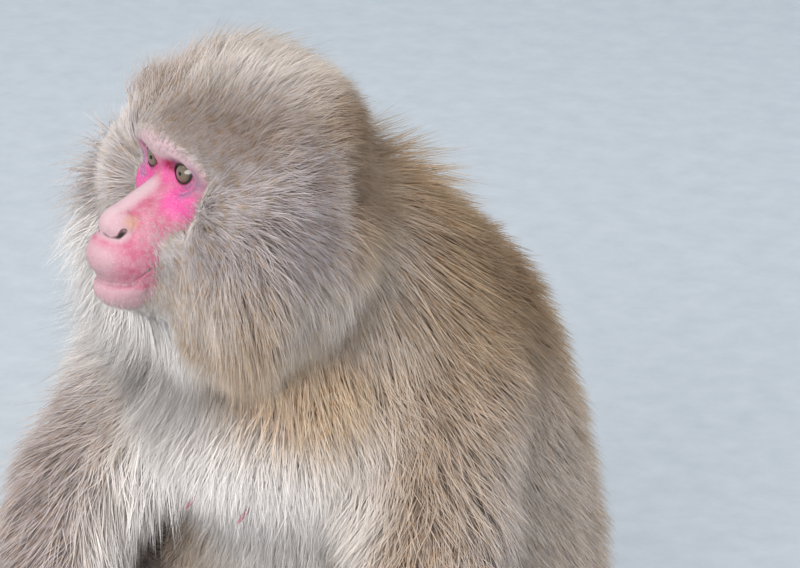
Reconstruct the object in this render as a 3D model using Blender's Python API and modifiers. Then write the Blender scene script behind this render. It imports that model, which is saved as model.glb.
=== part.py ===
"""A seated Japanese macaque in winter coat, life size, as a still display model.

Every solid follows the outside of the coat, or the bare skin of the face, hands and feet.
The body is built whole from overlapping balls and tapered limbs, fused and smoothed,
and is then parted into its named pieces with thin cuts.

Frame: metres, Z up, floor at Z 0. The chest faces -Y and the animal's left is +X.
"""

from math import radians

import bmesh
import bpy
from mathutils import Matrix, Vector

# Driving dimensions
CUT = 0.0006  # width of the thin cuts between neighbours
CELL_MARGIN = 0.009  # how far the cell that parts a limb or the head stands off it
HEAD_TURN = radians(-31.0)  # the head looks to the animal's right
EYE_RADIUS = 0.0095
EYE_SPACING = 0.0344  # between the centres of the two eyes

# Grain of the fused clay, and how many triangles decimation leaves
BODY_VOXEL, BODY_TRIANGLES = 0.0055, 2100
HEAD_VOXEL, HEAD_TRIANGLES = 0.0021, 3100
PAW_VOXEL, PAW_TRIANGLES = 0.0021, 430
CELL_TRIANGLES = 260

# Share of a piece's triangles that is left once the slivers along its cuts are collapsed
USUAL_SHARE = 0.60
FINER_SHARES = {"head": 0.82, "muzzle": 0.82, "jaw": 0.82, "rump": 0.85, "tail": 0.75}

SIDES = {"left": 1, "right": -1}

# Head frame: its origin lies between the corneas, its axes are forward, left and up
EYE_LINE = Vector((-0.0276, -0.1176, 0.451))
HEAD_FRAME = Matrix.Translation(EYE_LINE) @ Matrix.Rotation(HEAD_TURN - radians(90), 4, "Z")

# Coat envelope of the trunk from the seat to the nape: centre and half sizes
SPINE = [
    ((0.000, 0.088, 0.092), (0.156, 0.138, 0.094)),
    ((0.000, 0.090, 0.150), (0.148, 0.144, 0.090)),
    ((0.000, 0.082, 0.215), (0.138, 0.147, 0.087)),
    ((0.000, 0.056, 0.275), (0.134, 0.145, 0.088)),
    ((0.000, 0.036, 0.322), (0.130, 0.128, 0.086)),
    ((0.000, 0.010, 0.362), (0.104, 0.108, 0.074)),
    ((-0.008, -0.036, 0.390), (0.084, 0.084, 0.066)),
]
SPINE_STEPS = 4
BREAST = ((0.000, -0.010, 0.282), (0.112, 0.100, 0.084))

# Coat envelope of the head, in the head frame: centre and half sizes
CRANIUM = ((-0.062, 0.000, 0.002), (0.070, 0.082, 0.065))
RUFF_BOTH = {
    "whiskers": ((-0.014, 0.065, -0.051), (0.036, 0.050, 0.068)),
    "jowl": ((-0.042, 0.058, -0.046), (0.044, 0.044, 0.062)),
    "behind_ear": ((-0.066, 0.050, -0.044), (0.046, 0.046, 0.060)),
    "beard": ((-0.026, 0.032, -0.086), (0.042, 0.044, 0.044)),
    "temple": ((-0.033, 0.052, 0.002), (0.032, 0.046, 0.044)),
}
THROAT = ((-0.034, 0.000, -0.096), (0.046, 0.050, 0.042))

# Bare face, in the head frame
FACE = {
    "mask": ((-0.024, 0.000, -0.018), (0.030, 0.040, 0.038)),
    "maxilla": ((0.004, 0.000, -0.038), (0.031, 0.030, 0.025)),
    "upper_lip": ((0.024, 0.000, -0.045), (0.0285, 0.0230, 0.0180)),
    "chin": ((0.023, 0.000, -0.066), (0.0245, 0.0185, 0.0145)),
    "jaw": ((0.000, 0.000, -0.062), (0.030, 0.026, 0.019)),
    "nose_tip": ((0.0365, 0.000, -0.0285), (0.0085, 0.0090, 0.0080)),
}
FACE_BOTH = {
    "cheekbone": ((-0.009, 0.024, -0.016), (0.014, 0.017, 0.013)),
    "nose_wing": ((0.0330, 0.0062, -0.0290), (0.0075, 0.0060, 0.0060)),
}
BROW_RADIUS = 0.0090
BROW_ARCH = [  # half of the arch, from the middle outwards
    (0.0010, 0.000, 0.0150),
    (0.0005, 0.014, 0.0165),
    (-0.0050, 0.029, 0.0130),
    (-0.0120, 0.038, 0.0040),
]
NOSE_BRIDGE = [((-0.002, 0.0, -0.0090), 0.0080), ((0.031, 0.0, -0.0265), 0.0098)]
SOCKET = ((0.0062, EYE_SPACING / 2 + 0.0015, -0.0005), (0.0118, 0.0140, 0.0098))
NOSTRIL = ((0.0420, 0.0062, -0.0335), (0.0068, 0.0045, 0.0026))
BARE_CENTRE, BARE_RADII = (0.014, 0.0, -0.030), (0.050, 0.038, 0.052)
MOUTH_FRONT = Vector((0.048, 0.0, -0.0605))  # where the lips meet, at the front
MOUTH_RISE = radians(18)  # the line of the mouth climbs towards its corners
MUZZLE_CELL = ((0.047, 0.0, -0.048), (0.037, 0.040, 0.040))
EAR = ((-0.060, 0.078, -0.004), (0.016, 0.009, 0.021))

# Colour and roughness of each kind of piece
FUR_ROUGHNESS, SKIN_ROUGHNESS, EYE_ROUGHNESS = 0.90, 0.55, 0.08
FINISHES = {
    "head": ("A89D92", FUR_ROUGHNESS),
    "muzzle": ("D9828C", SKIN_ROUGHNESS),
    "jaw": ("D9A5A0", SKIN_ROUGHNESS),
    "ear": ("9B8E7F", FUR_ROUGHNESS),
    "eye": ("5A3D22", EYE_ROUGHNESS),
    "neck": ("97856B", FUR_ROUGHNESS),
    "chest": ("A3947C", FUR_ROUGHNESS),
    "belly": ("A89A85", FUR_ROUGHNESS),
    "rump": ("8C7B62", FUR_ROUGHNESS),
    "tail": ("8C7B62", FUR_ROUGHNESS),
    "upper_arm": ("8E8069", FUR_ROUGHNESS),
    "forearm": ("8A7E6C", FUR_ROUGHNESS),
    "hand": ("7C6A66", SKIN_ROUGHNESS),
    "thigh": ("8E8069", FUR_ROUGHNESS),
    "shin": ("8A7E6C", FUR_ROUGHNESS),
    "foot": ("7C6A66", SKIN_ROUGHNESS),
}

# Limb centrelines with the coat's radius at each point, from root to tip
ARM = {
    "left": {
        "shoulder": ((0.082, 0.006, 0.306), 0.066),
        "elbow": ((0.110, -0.052, 0.208), 0.054),
        "wrist": ((0.080, -0.176, 0.104), 0.029),
        "fingertips": (0.088, -0.236, 0.032),
    },
    "right": {
        "shoulder": ((-0.088, -0.002, 0.304), 0.064),
        "elbow": ((-0.114, -0.092, 0.212), 0.051),
        "wrist": ((-0.084, -0.196, 0.102), 0.029),
        "fingertips": (-0.092, -0.254, 0.032),
    },
}
LEG = {
    "left": {
        "hip": ((0.090, 0.052, 0.088), 0.078),
        "knee": ((0.134, -0.076, 0.142), 0.052),
        "ankle": ((0.098, -0.136, 0.040), 0.031),
        "toes": (0.108, -0.262, 0.008),
    },
    "right": {
        "hip": ((-0.090, 0.052, 0.088), 0.078),
        "knee": ((-0.130, -0.084, 0.142), 0.052),
        "ankle": ((-0.096, -0.144, 0.040), 0.031),
        "toes": (-0.106, -0.270, 0.008),
    },
}
TAIL = [((0.0, 0.170, 0.050), 0.027), ((0.0, 0.222, 0.029), 0.023), ((0.0, 0.260, 0.013), 0.017)]

# Hands and feet, in frames that run ahead to the digits, across to the outer side, and up.
# A stem is a row of stations, a pad is centre and half sizes, a digit's bend is a share of
# its length and a height, and its spreads and girths are for knuckle, bend and tip.
DIGIT_PITCH, DIGIT_RADIUS = 0.0112, 0.0058
HAND = {
    "stems": [
        [((-0.020, 0.000, 0.000), 0.0270), ((0.022, 0.000, 0.000), 0.0185)],
        [((0.030, -0.016, -0.004), 0.0078), ((0.048, -0.032, -0.008), 0.0058)],
    ],
    "pads": [((0.040, 0.000, -0.001), (0.0280, 0.0225, 0.0115))],
    "knuckle": (0.050, 0.000),
    "bend": (0.55, 0.004),
    "tip_height": -0.007,
    "reaches": (1.00, 1.06, 1.03, 0.94),
    "spreads": (0.90, 1.15, 1.25),
    "girths": (1.15, 1.00, 0.85),
    "room": ((0.010, -0.1, -0.1), (0.2, 0.1, 0.1)),
}
FOOT = {
    "stems": [
        [((0.000, 0.000, 0.080), 0.0300), ((0.000, 0.000, 0.040), 0.0265)],
        [((0.000, 0.000, 0.040), 0.0265), ((-0.016, 0.000, 0.017), 0.0185)],
        [((0.036, -0.018, 0.010), 0.0100), ((0.066, -0.040, 0.0055), 0.0067)],
    ],
    "pads": [
        ((0.034, 0.000, 0.014), (0.0520, 0.0215, 0.0170)),
        ((0.062, 0.000, 0.010), (0.0280, 0.0245, 0.0125)),
    ],
    "knuckle": (0.072, 0.011),
    "bend": (0.50, 0.0115),
    "tip_height": 0.0045,
    "reaches": (0.97, 1.03, 1.00, 0.92),
    "spreads": (1.00, 1.20, 1.35),
    "girths": (1.20, 1.00, 0.90),
    "room": ((-0.1, -0.1, -0.1), (0.2, 0.1, 0.046)),
}

# Straight cuts across the spine: the piece above each, its height and its lean
TRUNK_CUTS = [("neck", 0.352, radians(30)), ("chest", 0.232, radians(12)), ("belly", 0.130, 0.0)]


def clear_scene():
    for obj in list(bpy.data.objects):
        bpy.data.objects.remove(obj, do_unlink=True)


def collection(name):
    made = bpy.data.collections.new(name)
    bpy.context.scene.collection.children.link(made)
    return made


def mirrored(point):
    """The point on the other side of the head."""
    return (point[0], -point[1], point[2])


def grown(radii, margin):
    return tuple(radius + margin for radius in radii)


def blend(low, high, share):
    return tuple(a + (b - a) * share for a, b in zip(low, high))


def material(name, colour, roughness):
    """A Principled material from an sRGB colour such as "A98D68"."""
    made = bpy.data.materials.new(name)
    made.use_nodes = True
    channels = [int(colour[place : place + 2], 16) / 255 for place in (0, 2, 4)]
    linear = [c / 12.92 if c <= 0.04045 else ((c + 0.055) / 1.055) ** 2.4 for c in channels]
    surface = made.node_tree.nodes["Principled BSDF"]
    surface.inputs["Base Color"].default_value = (*linear, 1.0)
    surface.inputs["Roughness"].default_value = roughness
    surface.inputs["Metallic"].default_value = 0.0
    made.diffuse_color = (*linear, 1.0)
    return made


# Shapes that go into a bmesh


def add_ball(bm, centre, radii, frame=Matrix.Identity(4), detail=3):
    """An ellipsoid whose half sizes lie along the frame's axes."""
    place = frame @ Matrix.Translation(centre) @ Matrix.Diagonal((*radii, 1.0))
    bmesh.ops.create_icosphere(bm, subdivisions=detail, radius=1.0, matrix=place)


def add_limb(bm, stations, margin=0.0, detail=2):
    """Tapered capsules through the stations, each the hull of two balls."""
    for ends in zip(stations, stations[1:]):
        balls = bmesh.new()
        for centre, radius in ends:
            place = Matrix.Translation(centre)
            bmesh.ops.create_icosphere(
                balls, subdivisions=detail, radius=radius + margin, matrix=place
            )
        points = [bm.verts.new(vert.co) for vert in balls.verts]
        balls.free()
        hull = bmesh.ops.convex_hull(bm, input=points)
        inner = [item for item in hull["geom_interior"] if isinstance(item, bmesh.types.BMVert)]
        bmesh.ops.delete(bm, geom=inner, context="VERTS")


def object_from(bm, name, home):
    bmesh.ops.recalc_face_normals(bm, faces=bm.faces)
    mesh = bpy.data.meshes.new(name)
    bm.to_mesh(mesh)
    bm.free()
    obj = bpy.data.objects.new(name, mesh)
    home.objects.link(obj)
    return obj


def cutter_from(bm, name, home):
    obj = object_from(bm, name, home)
    obj.hide_render = True
    obj.display_type = "WIRE"
    return obj


# Steps that change an object


def apply_modifiers(obj):
    """Replaces the object's mesh with the evaluated one."""
    graph = bpy.context.evaluated_depsgraph_get()
    mesh = bpy.data.meshes.new_from_object(obj.evaluated_get(graph))
    obj.modifiers.clear()
    old, obj.data = obj.data, mesh
    bpy.data.meshes.remove(old)


def soften(obj, rounds, group=""):
    smooth = obj.modifiers.new("Soften", "SMOOTH")
    smooth.factor = 0.5
    smooth.iterations = rounds
    smooth.vertex_group = group
    apply_modifiers(obj)


def fuse(obj, voxel, rounds):
    """One closed skin round everything in the object, with softened creases."""
    remesh = obj.modifiers.new("Fuse", "REMESH")
    remesh.mode = "VOXEL"
    remesh.voxel_size = voxel
    soften(obj, rounds)


def thin_out(obj, triangles):
    """Decimates to about that many triangles."""
    faces = sum(len(face.vertices) - 2 for face in obj.data.polygons)
    decimate = obj.modifiers.new("Thin", "DECIMATE")
    decimate.ratio = triangles / faces
    decimate.use_collapse_triangulate = True
    apply_modifiers(obj)


def keep_largest(obj):
    """Drops crumbs that a cut may leave beside the main piece."""
    bm = bmesh.new()
    bm.from_mesh(obj.data)
    bmesh.ops.remove_doubles(bm, verts=bm.verts, dist=1e-5)
    left = set(bm.verts)
    pieces = []
    while left:
        seed = left.pop()
        piece, border = {seed}, [seed]
        while border:
            for edge in border.pop().link_edges:
                for vert in edge.verts:
                    if vert in left:
                        left.discard(vert)
                        piece.add(vert)
                        border.append(vert)
        pieces.append(piece)
    pieces.sort(key=len, reverse=True)
    for piece in pieces[1:]:
        bmesh.ops.delete(bm, geom=list(piece), context="VERTS")
    bmesh.ops.triangulate(bm, faces=bm.faces)
    bm.to_mesh(obj.data)
    bm.free()


def cut(obj, cutter, operation):
    boolean = obj.modifiers.new("Cut", "BOOLEAN")
    boolean.operation = operation
    boolean.solver = "EXACT"
    boolean.object = cutter
    apply_modifiers(obj)
    keep_largest(obj)


def duplicate(obj, name, home):
    made = obj.copy()
    made.data = obj.data.copy()
    made.name = name
    home.objects.link(made)
    return made


def with_gap(cell, home, width=CUT):
    """The same cutter, larger all round by the width of a thin cut."""
    made = duplicate(cell, cell.name + "_gap", home)
    displace = made.modifiers.new("Gap", "DISPLACE")
    displace.mid_level = 0.0
    displace.strength = width
    apply_modifiers(made)
    made.hide_render = True
    made.display_type = "WIRE"
    return made


def part_off(whole, cell, name, home, cutters, source=None):
    """Takes what lies in the cell out of the whole, as a named piece with a thin cut round it.
    A finer source may give the piece its shape in place of the whole's."""
    piece = duplicate(source or whole, name, home)
    cut(piece, cell, "INTERSECT")
    cut(whole, with_gap(cell, cutters), "DIFFERENCE")
    return piece


def slab(name, low, high, frame, home):
    """A block between two corners in the frame, for straight cuts."""
    bm = bmesh.new()
    low, high = Vector(low), Vector(high)
    place = frame @ Matrix.Translation((low + high) / 2) @ Matrix.Diagonal((*(high - low), 1.0))
    bmesh.ops.create_cube(bm, size=1.0, matrix=place)
    return cutter_from(bm, name, home)


def cell_of(name, home, balls=(), limbs=(), margin=CELL_MARGIN):
    """A parting cell: the given shapes, larger by the margin, and fused where they are many."""
    bm = bmesh.new()
    for centre, radii, frame in balls:
        add_ball(bm, centre, grown(radii, margin), frame)
    for stations in limbs:
        add_limb(bm, stations, margin)
    cell = cutter_from(bm, name, home)
    if balls:
        fuse(cell, BODY_VOXEL, 3)
        thin_out(cell, CELL_TRIANGLES)
    return cell


# The clay


def trunk_balls():
    """The spine's stations with steps between them, and the breast."""
    balls = [SPINE[0]]
    for (centre_a, radii_a), (centre_b, radii_b) in zip(SPINE, SPINE[1:]):
        for step in range(1, SPINE_STEPS + 1):
            share = step / SPINE_STEPS
            balls.append((blend(centre_a, centre_b, share), blend(radii_a, radii_b, share)))
    return balls + [BREAST]


def head_coat_balls():
    balls = [CRANIUM, THROAT]
    for centre, radii in RUFF_BOTH.values():
        balls += [(centre, radii), (mirrored(centre), radii)]
    return [(centre, radii, HEAD_FRAME) for centre, radii in balls]


def face_balls():
    balls = list(FACE.values())
    for centre, radii in FACE_BOTH.values():
        balls += [(centre, radii), (mirrored(centre), radii)]
    return [(centre, radii, HEAD_FRAME) for centre, radii in balls]


def brow_stations(side):
    return [(HEAD_FRAME @ Vector((f, side * l, u)), BROW_RADIUS) for f, l, u in BROW_ARCH]


def bridge_stations():
    return [(HEAD_FRAME @ Vector(point), radius) for point, radius in NOSE_BRIDGE]


def add_core(bm):
    """Trunk, limbs down to wrist and ankle, tail, and the coat of the head."""
    for centre, radii in trunk_balls():
        add_ball(bm, centre, radii)
    for centre, radii, frame in head_coat_balls():
        add_ball(bm, centre, radii, frame)
    for side in SIDES:
        arm, leg = ARM[side], LEG[side]
        add_limb(bm, [arm["shoulder"], arm["elbow"], arm["wrist"]])
        add_limb(bm, [leg["hip"], leg["knee"], leg["ankle"]])
    add_limb(bm, TAIL)


def whole_body(home):
    bm = bmesh.new()
    add_core(bm)
    body = object_from(bm, "body", home)
    fuse(body, BODY_VOXEL, 26)
    thin_out(body, BODY_TRIANGLES)
    return body


def mark_coat(head):
    """A vertex group that is 1 on the coat and 0 on the bare face."""
    group = head.vertex_groups.new(name="coat")
    to_head = HEAD_FRAME.inverted()
    for vert in head.data.vertices:
        offset = to_head @ vert.co - Vector(BARE_CENTRE)
        reach = Vector((a / b for a, b in zip(offset, BARE_RADII))).length
        group.add([vert.index], min(max((reach - 1.0) / 0.35, 0.0), 1.0), "REPLACE")


def head_clay(home, cutters):
    """The head at a finer grain, with eye sockets and nostrils."""
    bm = bmesh.new()
    add_core(bm)
    for centre, radii, frame in face_balls():
        add_ball(bm, centre, radii, frame)
    for side in SIDES.values():
        add_limb(bm, brow_stations(side))
    add_limb(bm, bridge_stations())
    bounds = slab("head_room", (-0.20, -0.13, -0.16), (0.10, 0.13, 0.10), HEAD_FRAME, cutters)
    head = object_from(bm, "head_clay", home)
    fuse(head, HEAD_VOXEL * 1.6, 0)
    cut(head, bounds, "INTERSECT")
    fuse(head, HEAD_VOXEL, 8)
    mark_coat(head)
    soften(head, 90, "coat")
    hollows = bmesh.new()
    for centre, radii in (SOCKET, NOSTRIL):
        add_ball(hollows, centre, radii, HEAD_FRAME)
        add_ball(hollows, mirrored(centre), radii, HEAD_FRAME)
    cut(head, cutter_from(hollows, "face_hollows", cutters), "DIFFERENCE")
    fuse(head, HEAD_VOXEL, 4)
    thin_out(head, HEAD_TRIANGLES)
    return head


def paw_frame(start, end, side):
    """Runs from start ahead to end, with its second axis to the animal's outer side."""
    ahead = (end - start).normalized()
    across = ahead.cross(Vector((0, 0, -SIDES[side]))).normalized()
    above = ahead.cross(across)
    if above.z < 0:
        above.negate()
    frame = Matrix((ahead, across, above)).transposed().to_4x4()
    frame.translation = start
    return frame


def add_digits(bm, shape, frame, length):
    """Four fingers or toes side by side, each with one bend."""
    start, height = shape["knuckle"]
    bend_share, bend_height = shape["bend"]
    for digit, reach in enumerate(shape["reaches"]):
        offset = (digit - 1.5) * DIGIT_PITCH
        end = length * reach
        aheads = (start, start + (end - start) * bend_share, end)
        heights = (height, bend_height, shape["tip_height"])
        stations = [
            (frame @ Vector((ahead, offset * spread, up)), DIGIT_RADIUS * girth)
            for ahead, up, spread, girth in zip(aheads, heights, shape["spreads"], shape["girths"])
        ]
        add_limb(bm, stations)


def paw(name, shape, frame, length, home, cutters):
    """A hand or foot, and the room that its limb is cut back from."""
    bm = bmesh.new()
    for stem in shape["stems"]:
        add_limb(bm, [(frame @ Vector(centre), radius) for centre, radius in stem])
    for centre, radii in shape["pads"]:
        add_ball(bm, centre, radii, frame)
    add_digits(bm, shape, frame, length)
    piece = object_from(bm, name, home)
    fuse(piece, PAW_VOXEL, 5)
    thin_out(piece, PAW_TRIANGLES)
    room = slab(f"{name}_room", *shape["room"], frame, cutters)
    cut(piece, room, "INTERSECT")
    return with_gap(room, cutters)


def hand(side, home, cutters):
    wrist, tips = Vector(ARM[side]["wrist"][0]), Vector(ARM[side]["fingertips"])
    frame = paw_frame(wrist, tips, side)
    return paw(f"hand_{side}", HAND, frame, (tips - wrist).length, home, cutters)


def foot(side, home, cutters):
    """Flat on the floor, below the ankle."""
    heel, toes = Vector(LEG[side]["ankle"][0]), Vector(LEG[side]["toes"])
    heel.z = toes.z = 0
    frame = paw_frame(heel, toes, side)
    return paw(f"foot_{side}", FOOT, frame, (toes - heel).length, home, cutters)


def part_limb(body, side, limb, ends, names, home, cutters):
    """Takes the lower and then the upper length of a limb off the trunk."""
    root, joint, end = (limb[name] for name in ends)
    upper, lower = names
    cell = cell_of(f"{lower}_{side}_cell", cutters, limbs=[[joint, end]])
    piece = part_off(body, cell, f"{lower}_{side}", home, cutters)
    cell = cell_of(f"{upper}_{side}_cell", cutters, limbs=[[root, joint]])
    part_off(body, cell, f"{upper}_{side}", home, cutters)
    return piece


def part_limbs(body, home, cutters):
    """Takes the arms and legs off the trunk, and gives them hands and feet."""
    for side in SIDES:
        joints, names = ("shoulder", "elbow", "wrist"), ("upper_arm", "forearm")
        forearm = part_limb(body, side, ARM[side], joints, names, home, cutters)
        cut(forearm, hand(side, home, cutters), "DIFFERENCE")
        joints, names = ("hip", "knee", "ankle"), ("thigh", "shin")
        shin = part_limb(body, side, LEG[side], joints, names, home, cutters)
        cut(shin, foot(side, home, cutters), "DIFFERENCE")


def eyes_and_ears(head, home, cutters):
    """Balls that lie in the head, with a thin cut round each."""
    for side, sign in SIDES.items():
        for name, centre, radii in (
            ("eye", (-EYE_RADIUS, EYE_SPACING / 2, 0.0), (EYE_RADIUS,) * 3),
            ("ear", *EAR),
        ):
            place = (centre[0], sign * centre[1], centre[2])
            bm = bmesh.new()
            add_ball(bm, place, radii, HEAD_FRAME, detail=3 if name == "eye" else 2)
            piece = object_from(bm, f"{name}_{side}", home)
            cut(head, with_gap(piece, cutters, 2 * CUT), "DIFFERENCE")


def muzzle_and_jaw(head, home, cutters):
    """Parts the muzzle off the head, and the jaw off the muzzle along the mouth."""
    cell = cell_of("muzzle_cell", cutters, [(*MUZZLE_CELL, HEAD_FRAME)], margin=0.0)
    muzzle = part_off(head, cell, "muzzle", home, cutters)
    mouth = HEAD_FRAME @ Matrix.Translation(MOUTH_FRONT) @ Matrix.Rotation(MOUTH_RISE, 4, "Y")
    below = slab("jaw_room", (-0.1, -0.06, -0.06), (0.04, 0.06, 0.0), mouth, cutters)
    part_off(muzzle, below, "jaw", home, cutters)


def divide_trunk(trunk, home, cutters):
    """Straight cuts across the spine: the neck, the chest and the belly leave the rump."""
    for name, height, lean in TRUNK_CUTS:
        plane = Matrix.Translation((0, 0.02, height)) @ Matrix.Rotation(lean, 4, "X")
        above = slab(f"{name}_room", (-0.4, -0.4, 0.0), (0.4, 0.4, 0.4), plane, cutters)
        part_off(trunk, above, name, home, cutters)
    trunk.name = "rump"


def clear_slivers(home):
    """Collapses the thin triangles that the cuts leave, everywhere but on eyes and ears."""
    for piece in home.objects:
        if not piece.name.startswith(("eye", "ear")):
            share = FINER_SHARES.get(piece.name, USUAL_SHARE)
            thin_out(piece, len(piece.data.polygons) * share)


def flatten_underside(home, cutters):
    """Cuts everything off level with the floor, which leaves the small flats it rests on."""
    floor = slab("floor", (-1, -1, -1), (1, 1, 0), Matrix.Identity(4), cutters)
    for piece in home.objects:
        if min(corner[2] for corner in piece.bound_box) < 0:
            cut(piece, floor, "DIFFERENCE")


def centre_on_origin(home):
    """Moves the animal so that the middle of its footprint is the origin."""
    corners = [Vector(corner) for piece in home.objects for corner in piece.bound_box]
    middle = [(min(c[axis] for c in corners) + max(c[axis] for c in corners)) / 2 for axis in (0, 1)]
    for piece in home.objects:
        piece.data.transform(Matrix.Translation((-middle[0], -middle[1], 0)))


def finish(home):
    """Gives each piece its own material, smooth shading and the animal's parent empty."""
    animal = bpy.data.objects.new("macaque", None)
    bpy.context.scene.collection.objects.link(animal)
    for piece in home.objects:
        kind = piece.name.removesuffix("_left").removesuffix("_right")
        piece.data.materials.clear()
        piece.data.materials.append(material(piece.name, *FINISHES[kind]))
        piece.data.shade_smooth()
        piece.parent = animal


def main():
    clear_scene()
    home = collection("seated_macaque")
    cutters = collection("cutters")
    body = whole_body(home)
    clay = head_clay(home, cutters)
    cell = cell_of("head_cell", cutters, head_coat_balls() + face_balls())
    head = part_off(body, cell, "head", home, cutters, source=clay)
    bpy.data.objects.remove(clay)
    eyes_and_ears(head, home, cutters)
    muzzle_and_jaw(head, home, cutters)
    part_limbs(body, home, cutters)
    part_off(body, cell_of("tail_cell", cutters, limbs=[TAIL]), "tail", home, cutters)
    divide_trunk(body, home, cutters)
    clear_slivers(home)
    flatten_underside(home, cutters)
    centre_on_origin(home)
    finish(home)


main()
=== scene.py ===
import math
import time

import bpy
import numpy as np
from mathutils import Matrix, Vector
from mathutils.bvhtree import BVHTree
from mathutils.kdtree import KDTree


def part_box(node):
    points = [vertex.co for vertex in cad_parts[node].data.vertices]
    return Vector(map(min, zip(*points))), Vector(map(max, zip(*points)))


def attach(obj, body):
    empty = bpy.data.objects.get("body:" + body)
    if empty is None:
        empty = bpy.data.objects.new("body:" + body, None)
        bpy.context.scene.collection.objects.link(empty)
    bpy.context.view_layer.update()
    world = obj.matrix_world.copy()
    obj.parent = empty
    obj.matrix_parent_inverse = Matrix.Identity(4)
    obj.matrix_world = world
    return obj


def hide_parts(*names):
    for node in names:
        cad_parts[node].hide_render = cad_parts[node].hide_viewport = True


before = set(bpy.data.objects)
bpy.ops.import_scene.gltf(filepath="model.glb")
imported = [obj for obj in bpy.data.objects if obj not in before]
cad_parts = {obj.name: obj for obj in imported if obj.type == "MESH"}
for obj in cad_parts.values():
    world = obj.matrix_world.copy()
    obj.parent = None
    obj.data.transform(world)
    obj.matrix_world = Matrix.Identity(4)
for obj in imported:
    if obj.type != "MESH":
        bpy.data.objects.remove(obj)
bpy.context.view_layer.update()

startTime = time.time()
mm = 0.001
sides = {"left": 1, "right": -1}
up = np.array((0.0, 0.0, 1.0))


def report(stage):
    print(f"{time.time() - startTime:6.1f} s  {stage}", flush=True)


def unit(vectors):
    return vectors / np.maximum(np.linalg.norm(vectors, axis=-1, keepdims=True), 1e-9)


def lengths(vectors):
    return np.linalg.norm(vectors, axis=1)


# 0 below low, 1 above high, and a soft step between.
def eased(values, low, high):
    share = np.clip((values - low) / (high - low), 0, 1)
    return share * share * (3 - 2 * share)


# Soft ball of influence: 1 at its heart and 0 at its edge.
def patch(points, centre, radii, inner=0.35, outer=1.0):
    return 1 - eased(lengths((points - np.array(centre)) / np.array(radii)), inner, outer)


# The head's own frame, worked out from the two eyes: forward, left and up, in millimetres

eyeBox = {side: [np.array(corner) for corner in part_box("eye_" + side)] for side in sides}
eyeCentre = {side: (low + high) / 2 for side, (low, high) in eyeBox.items()}
eyeRadius = (eyeBox["left"][1][0] - eyeBox["left"][0][0]) / 2 / mm
eyeHalfSpacing = np.linalg.norm(eyeCentre["left"] - eyeCentre["right"]) / 2 / mm
leftward = unit(eyeCentre["left"] - eyeCentre["right"])
forward = np.cross(leftward, up)
headOrigin = (eyeCentre["left"] + eyeCentre["right"]) / 2 + forward * eyeRadius * mm
headAxes = np.array([forward, leftward, up])


def toHead(points):
    return (points - headOrigin) @ headAxes.T / mm


def fromHead(points):
    return np.asarray(points, float) * mm @ headAxes + headOrigin


# Head places with both sides laid on the left one.
def folded(points):
    return points * (1, 0, 1) + np.abs(points) * (0, 1, 0)


# Distance of head places from the middle of the skull.
def fromSkull(head):
    return lengths(head + (50, 0, 20))


# Meshes by hand


def link(obj):
    bpy.context.scene.collection.objects.link(obj)


def deselectAll():
    bpy.ops.object.select_all(action="DESELECT")


def activate(obj):
    deselectAll()
    obj.select_set(True)
    bpy.context.view_layer.objects.active = obj


# A smooth ball, stretched along its axis.
def addBall(segments, rings, radius, place=(0, 0, 0), axis=Vector((0, 0, 1)), stretch=1.0):
    deselectAll()
    bpy.ops.mesh.primitive_uv_sphere_add(
        segments=segments, ring_count=rings, radius=radius, location=place,
        rotation=axis.to_track_quat("Z", "Y").to_euler(), scale=(1, 1, stretch))
    bpy.ops.object.transform_apply(location=True, rotation=True, scale=True)
    bpy.ops.object.shade_smooth()
    return bpy.context.object


def applyModifier(obj, kind, **settings):
    activate(obj)
    modifier = obj.modifiers.new(kind, kind)
    for key, value in settings.items():
        setattr(modifier, key, value)
    bpy.ops.object.modifier_apply(modifier=modifier.name)


def joined(name, objects):
    deselectAll()
    for obj in objects:
        obj.select_set(True)
    bpy.context.view_layer.objects.active = objects[0]
    bpy.ops.object.join()
    objects[0].name = objects[0].data.name = name
    return objects[0]


def read(items, key, width, kind=np.float32):
    values = np.empty(len(items) * width, kind)
    items.foreach_get(key, values)
    return values.reshape(-1, width) if width > 1 else values


def placesOf(obj):
    return read(obj.data.vertices, "co", 3).astype(float)


def normalsOf(obj):
    return read(obj.data.vertex_normals, "vector", 3).astype(float)


def setPlaces(obj, places):
    obj.data.vertices.foreach_set("co", places.astype(np.float32).ravel())
    obj.data.update()


def trianglesOf(obj):
    obj.data.calc_loop_triangles()
    return read(obj.data.loop_triangles, "vertices", 3, np.int32)


def treeOf(obj):
    return BVHTree.FromPolygons(placesOf(obj).tolist(), trianglesOf(obj).tolist())


# Finds the nearest of the points
def finderOf(points):
    finder = KDTree(len(points))
    for index, point in enumerate(points.tolist()):
        finder.insert(point, index)
    finder.balance()
    return finder


# A number or a vector for each vertex.
def addAttribute(obj, name, values):
    values = np.asarray(values, np.float32)
    kind, key = ("FLOAT", "value") if values.ndim == 1 else ("FLOAT_VECTOR", "vector")
    obj.data.attributes.new(name, kind, "POINT").data.foreach_set(key, values.ravel())


# Evens out values over the mesh, along its edges.
def spread(values, pairs, rounds):
    values = np.asarray(values, float)
    columns = values.reshape(len(values), -1).copy()
    first, second = pairs.T
    count = np.bincount(first, minlength=len(values)) + np.bincount(second, minlength=len(values))
    for _ in range(rounds):
        for column in columns.T:
            total = np.bincount(first, weights=column[second], minlength=len(values))
            total += np.bincount(second, weights=column[first], minlength=len(values))
            column[:] = 0.5 * column + 0.5 * total / np.maximum(count, 1)
    return columns.reshape(values.shape)


# Distance fields in the head's frame, in millimetres


def ballField(points, centre, radii):
    offset = points - centre
    near = lengths(offset / radii)
    return near * (near - 1) / np.maximum(lengths(offset / np.square(radii)), 1e-6)


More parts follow.
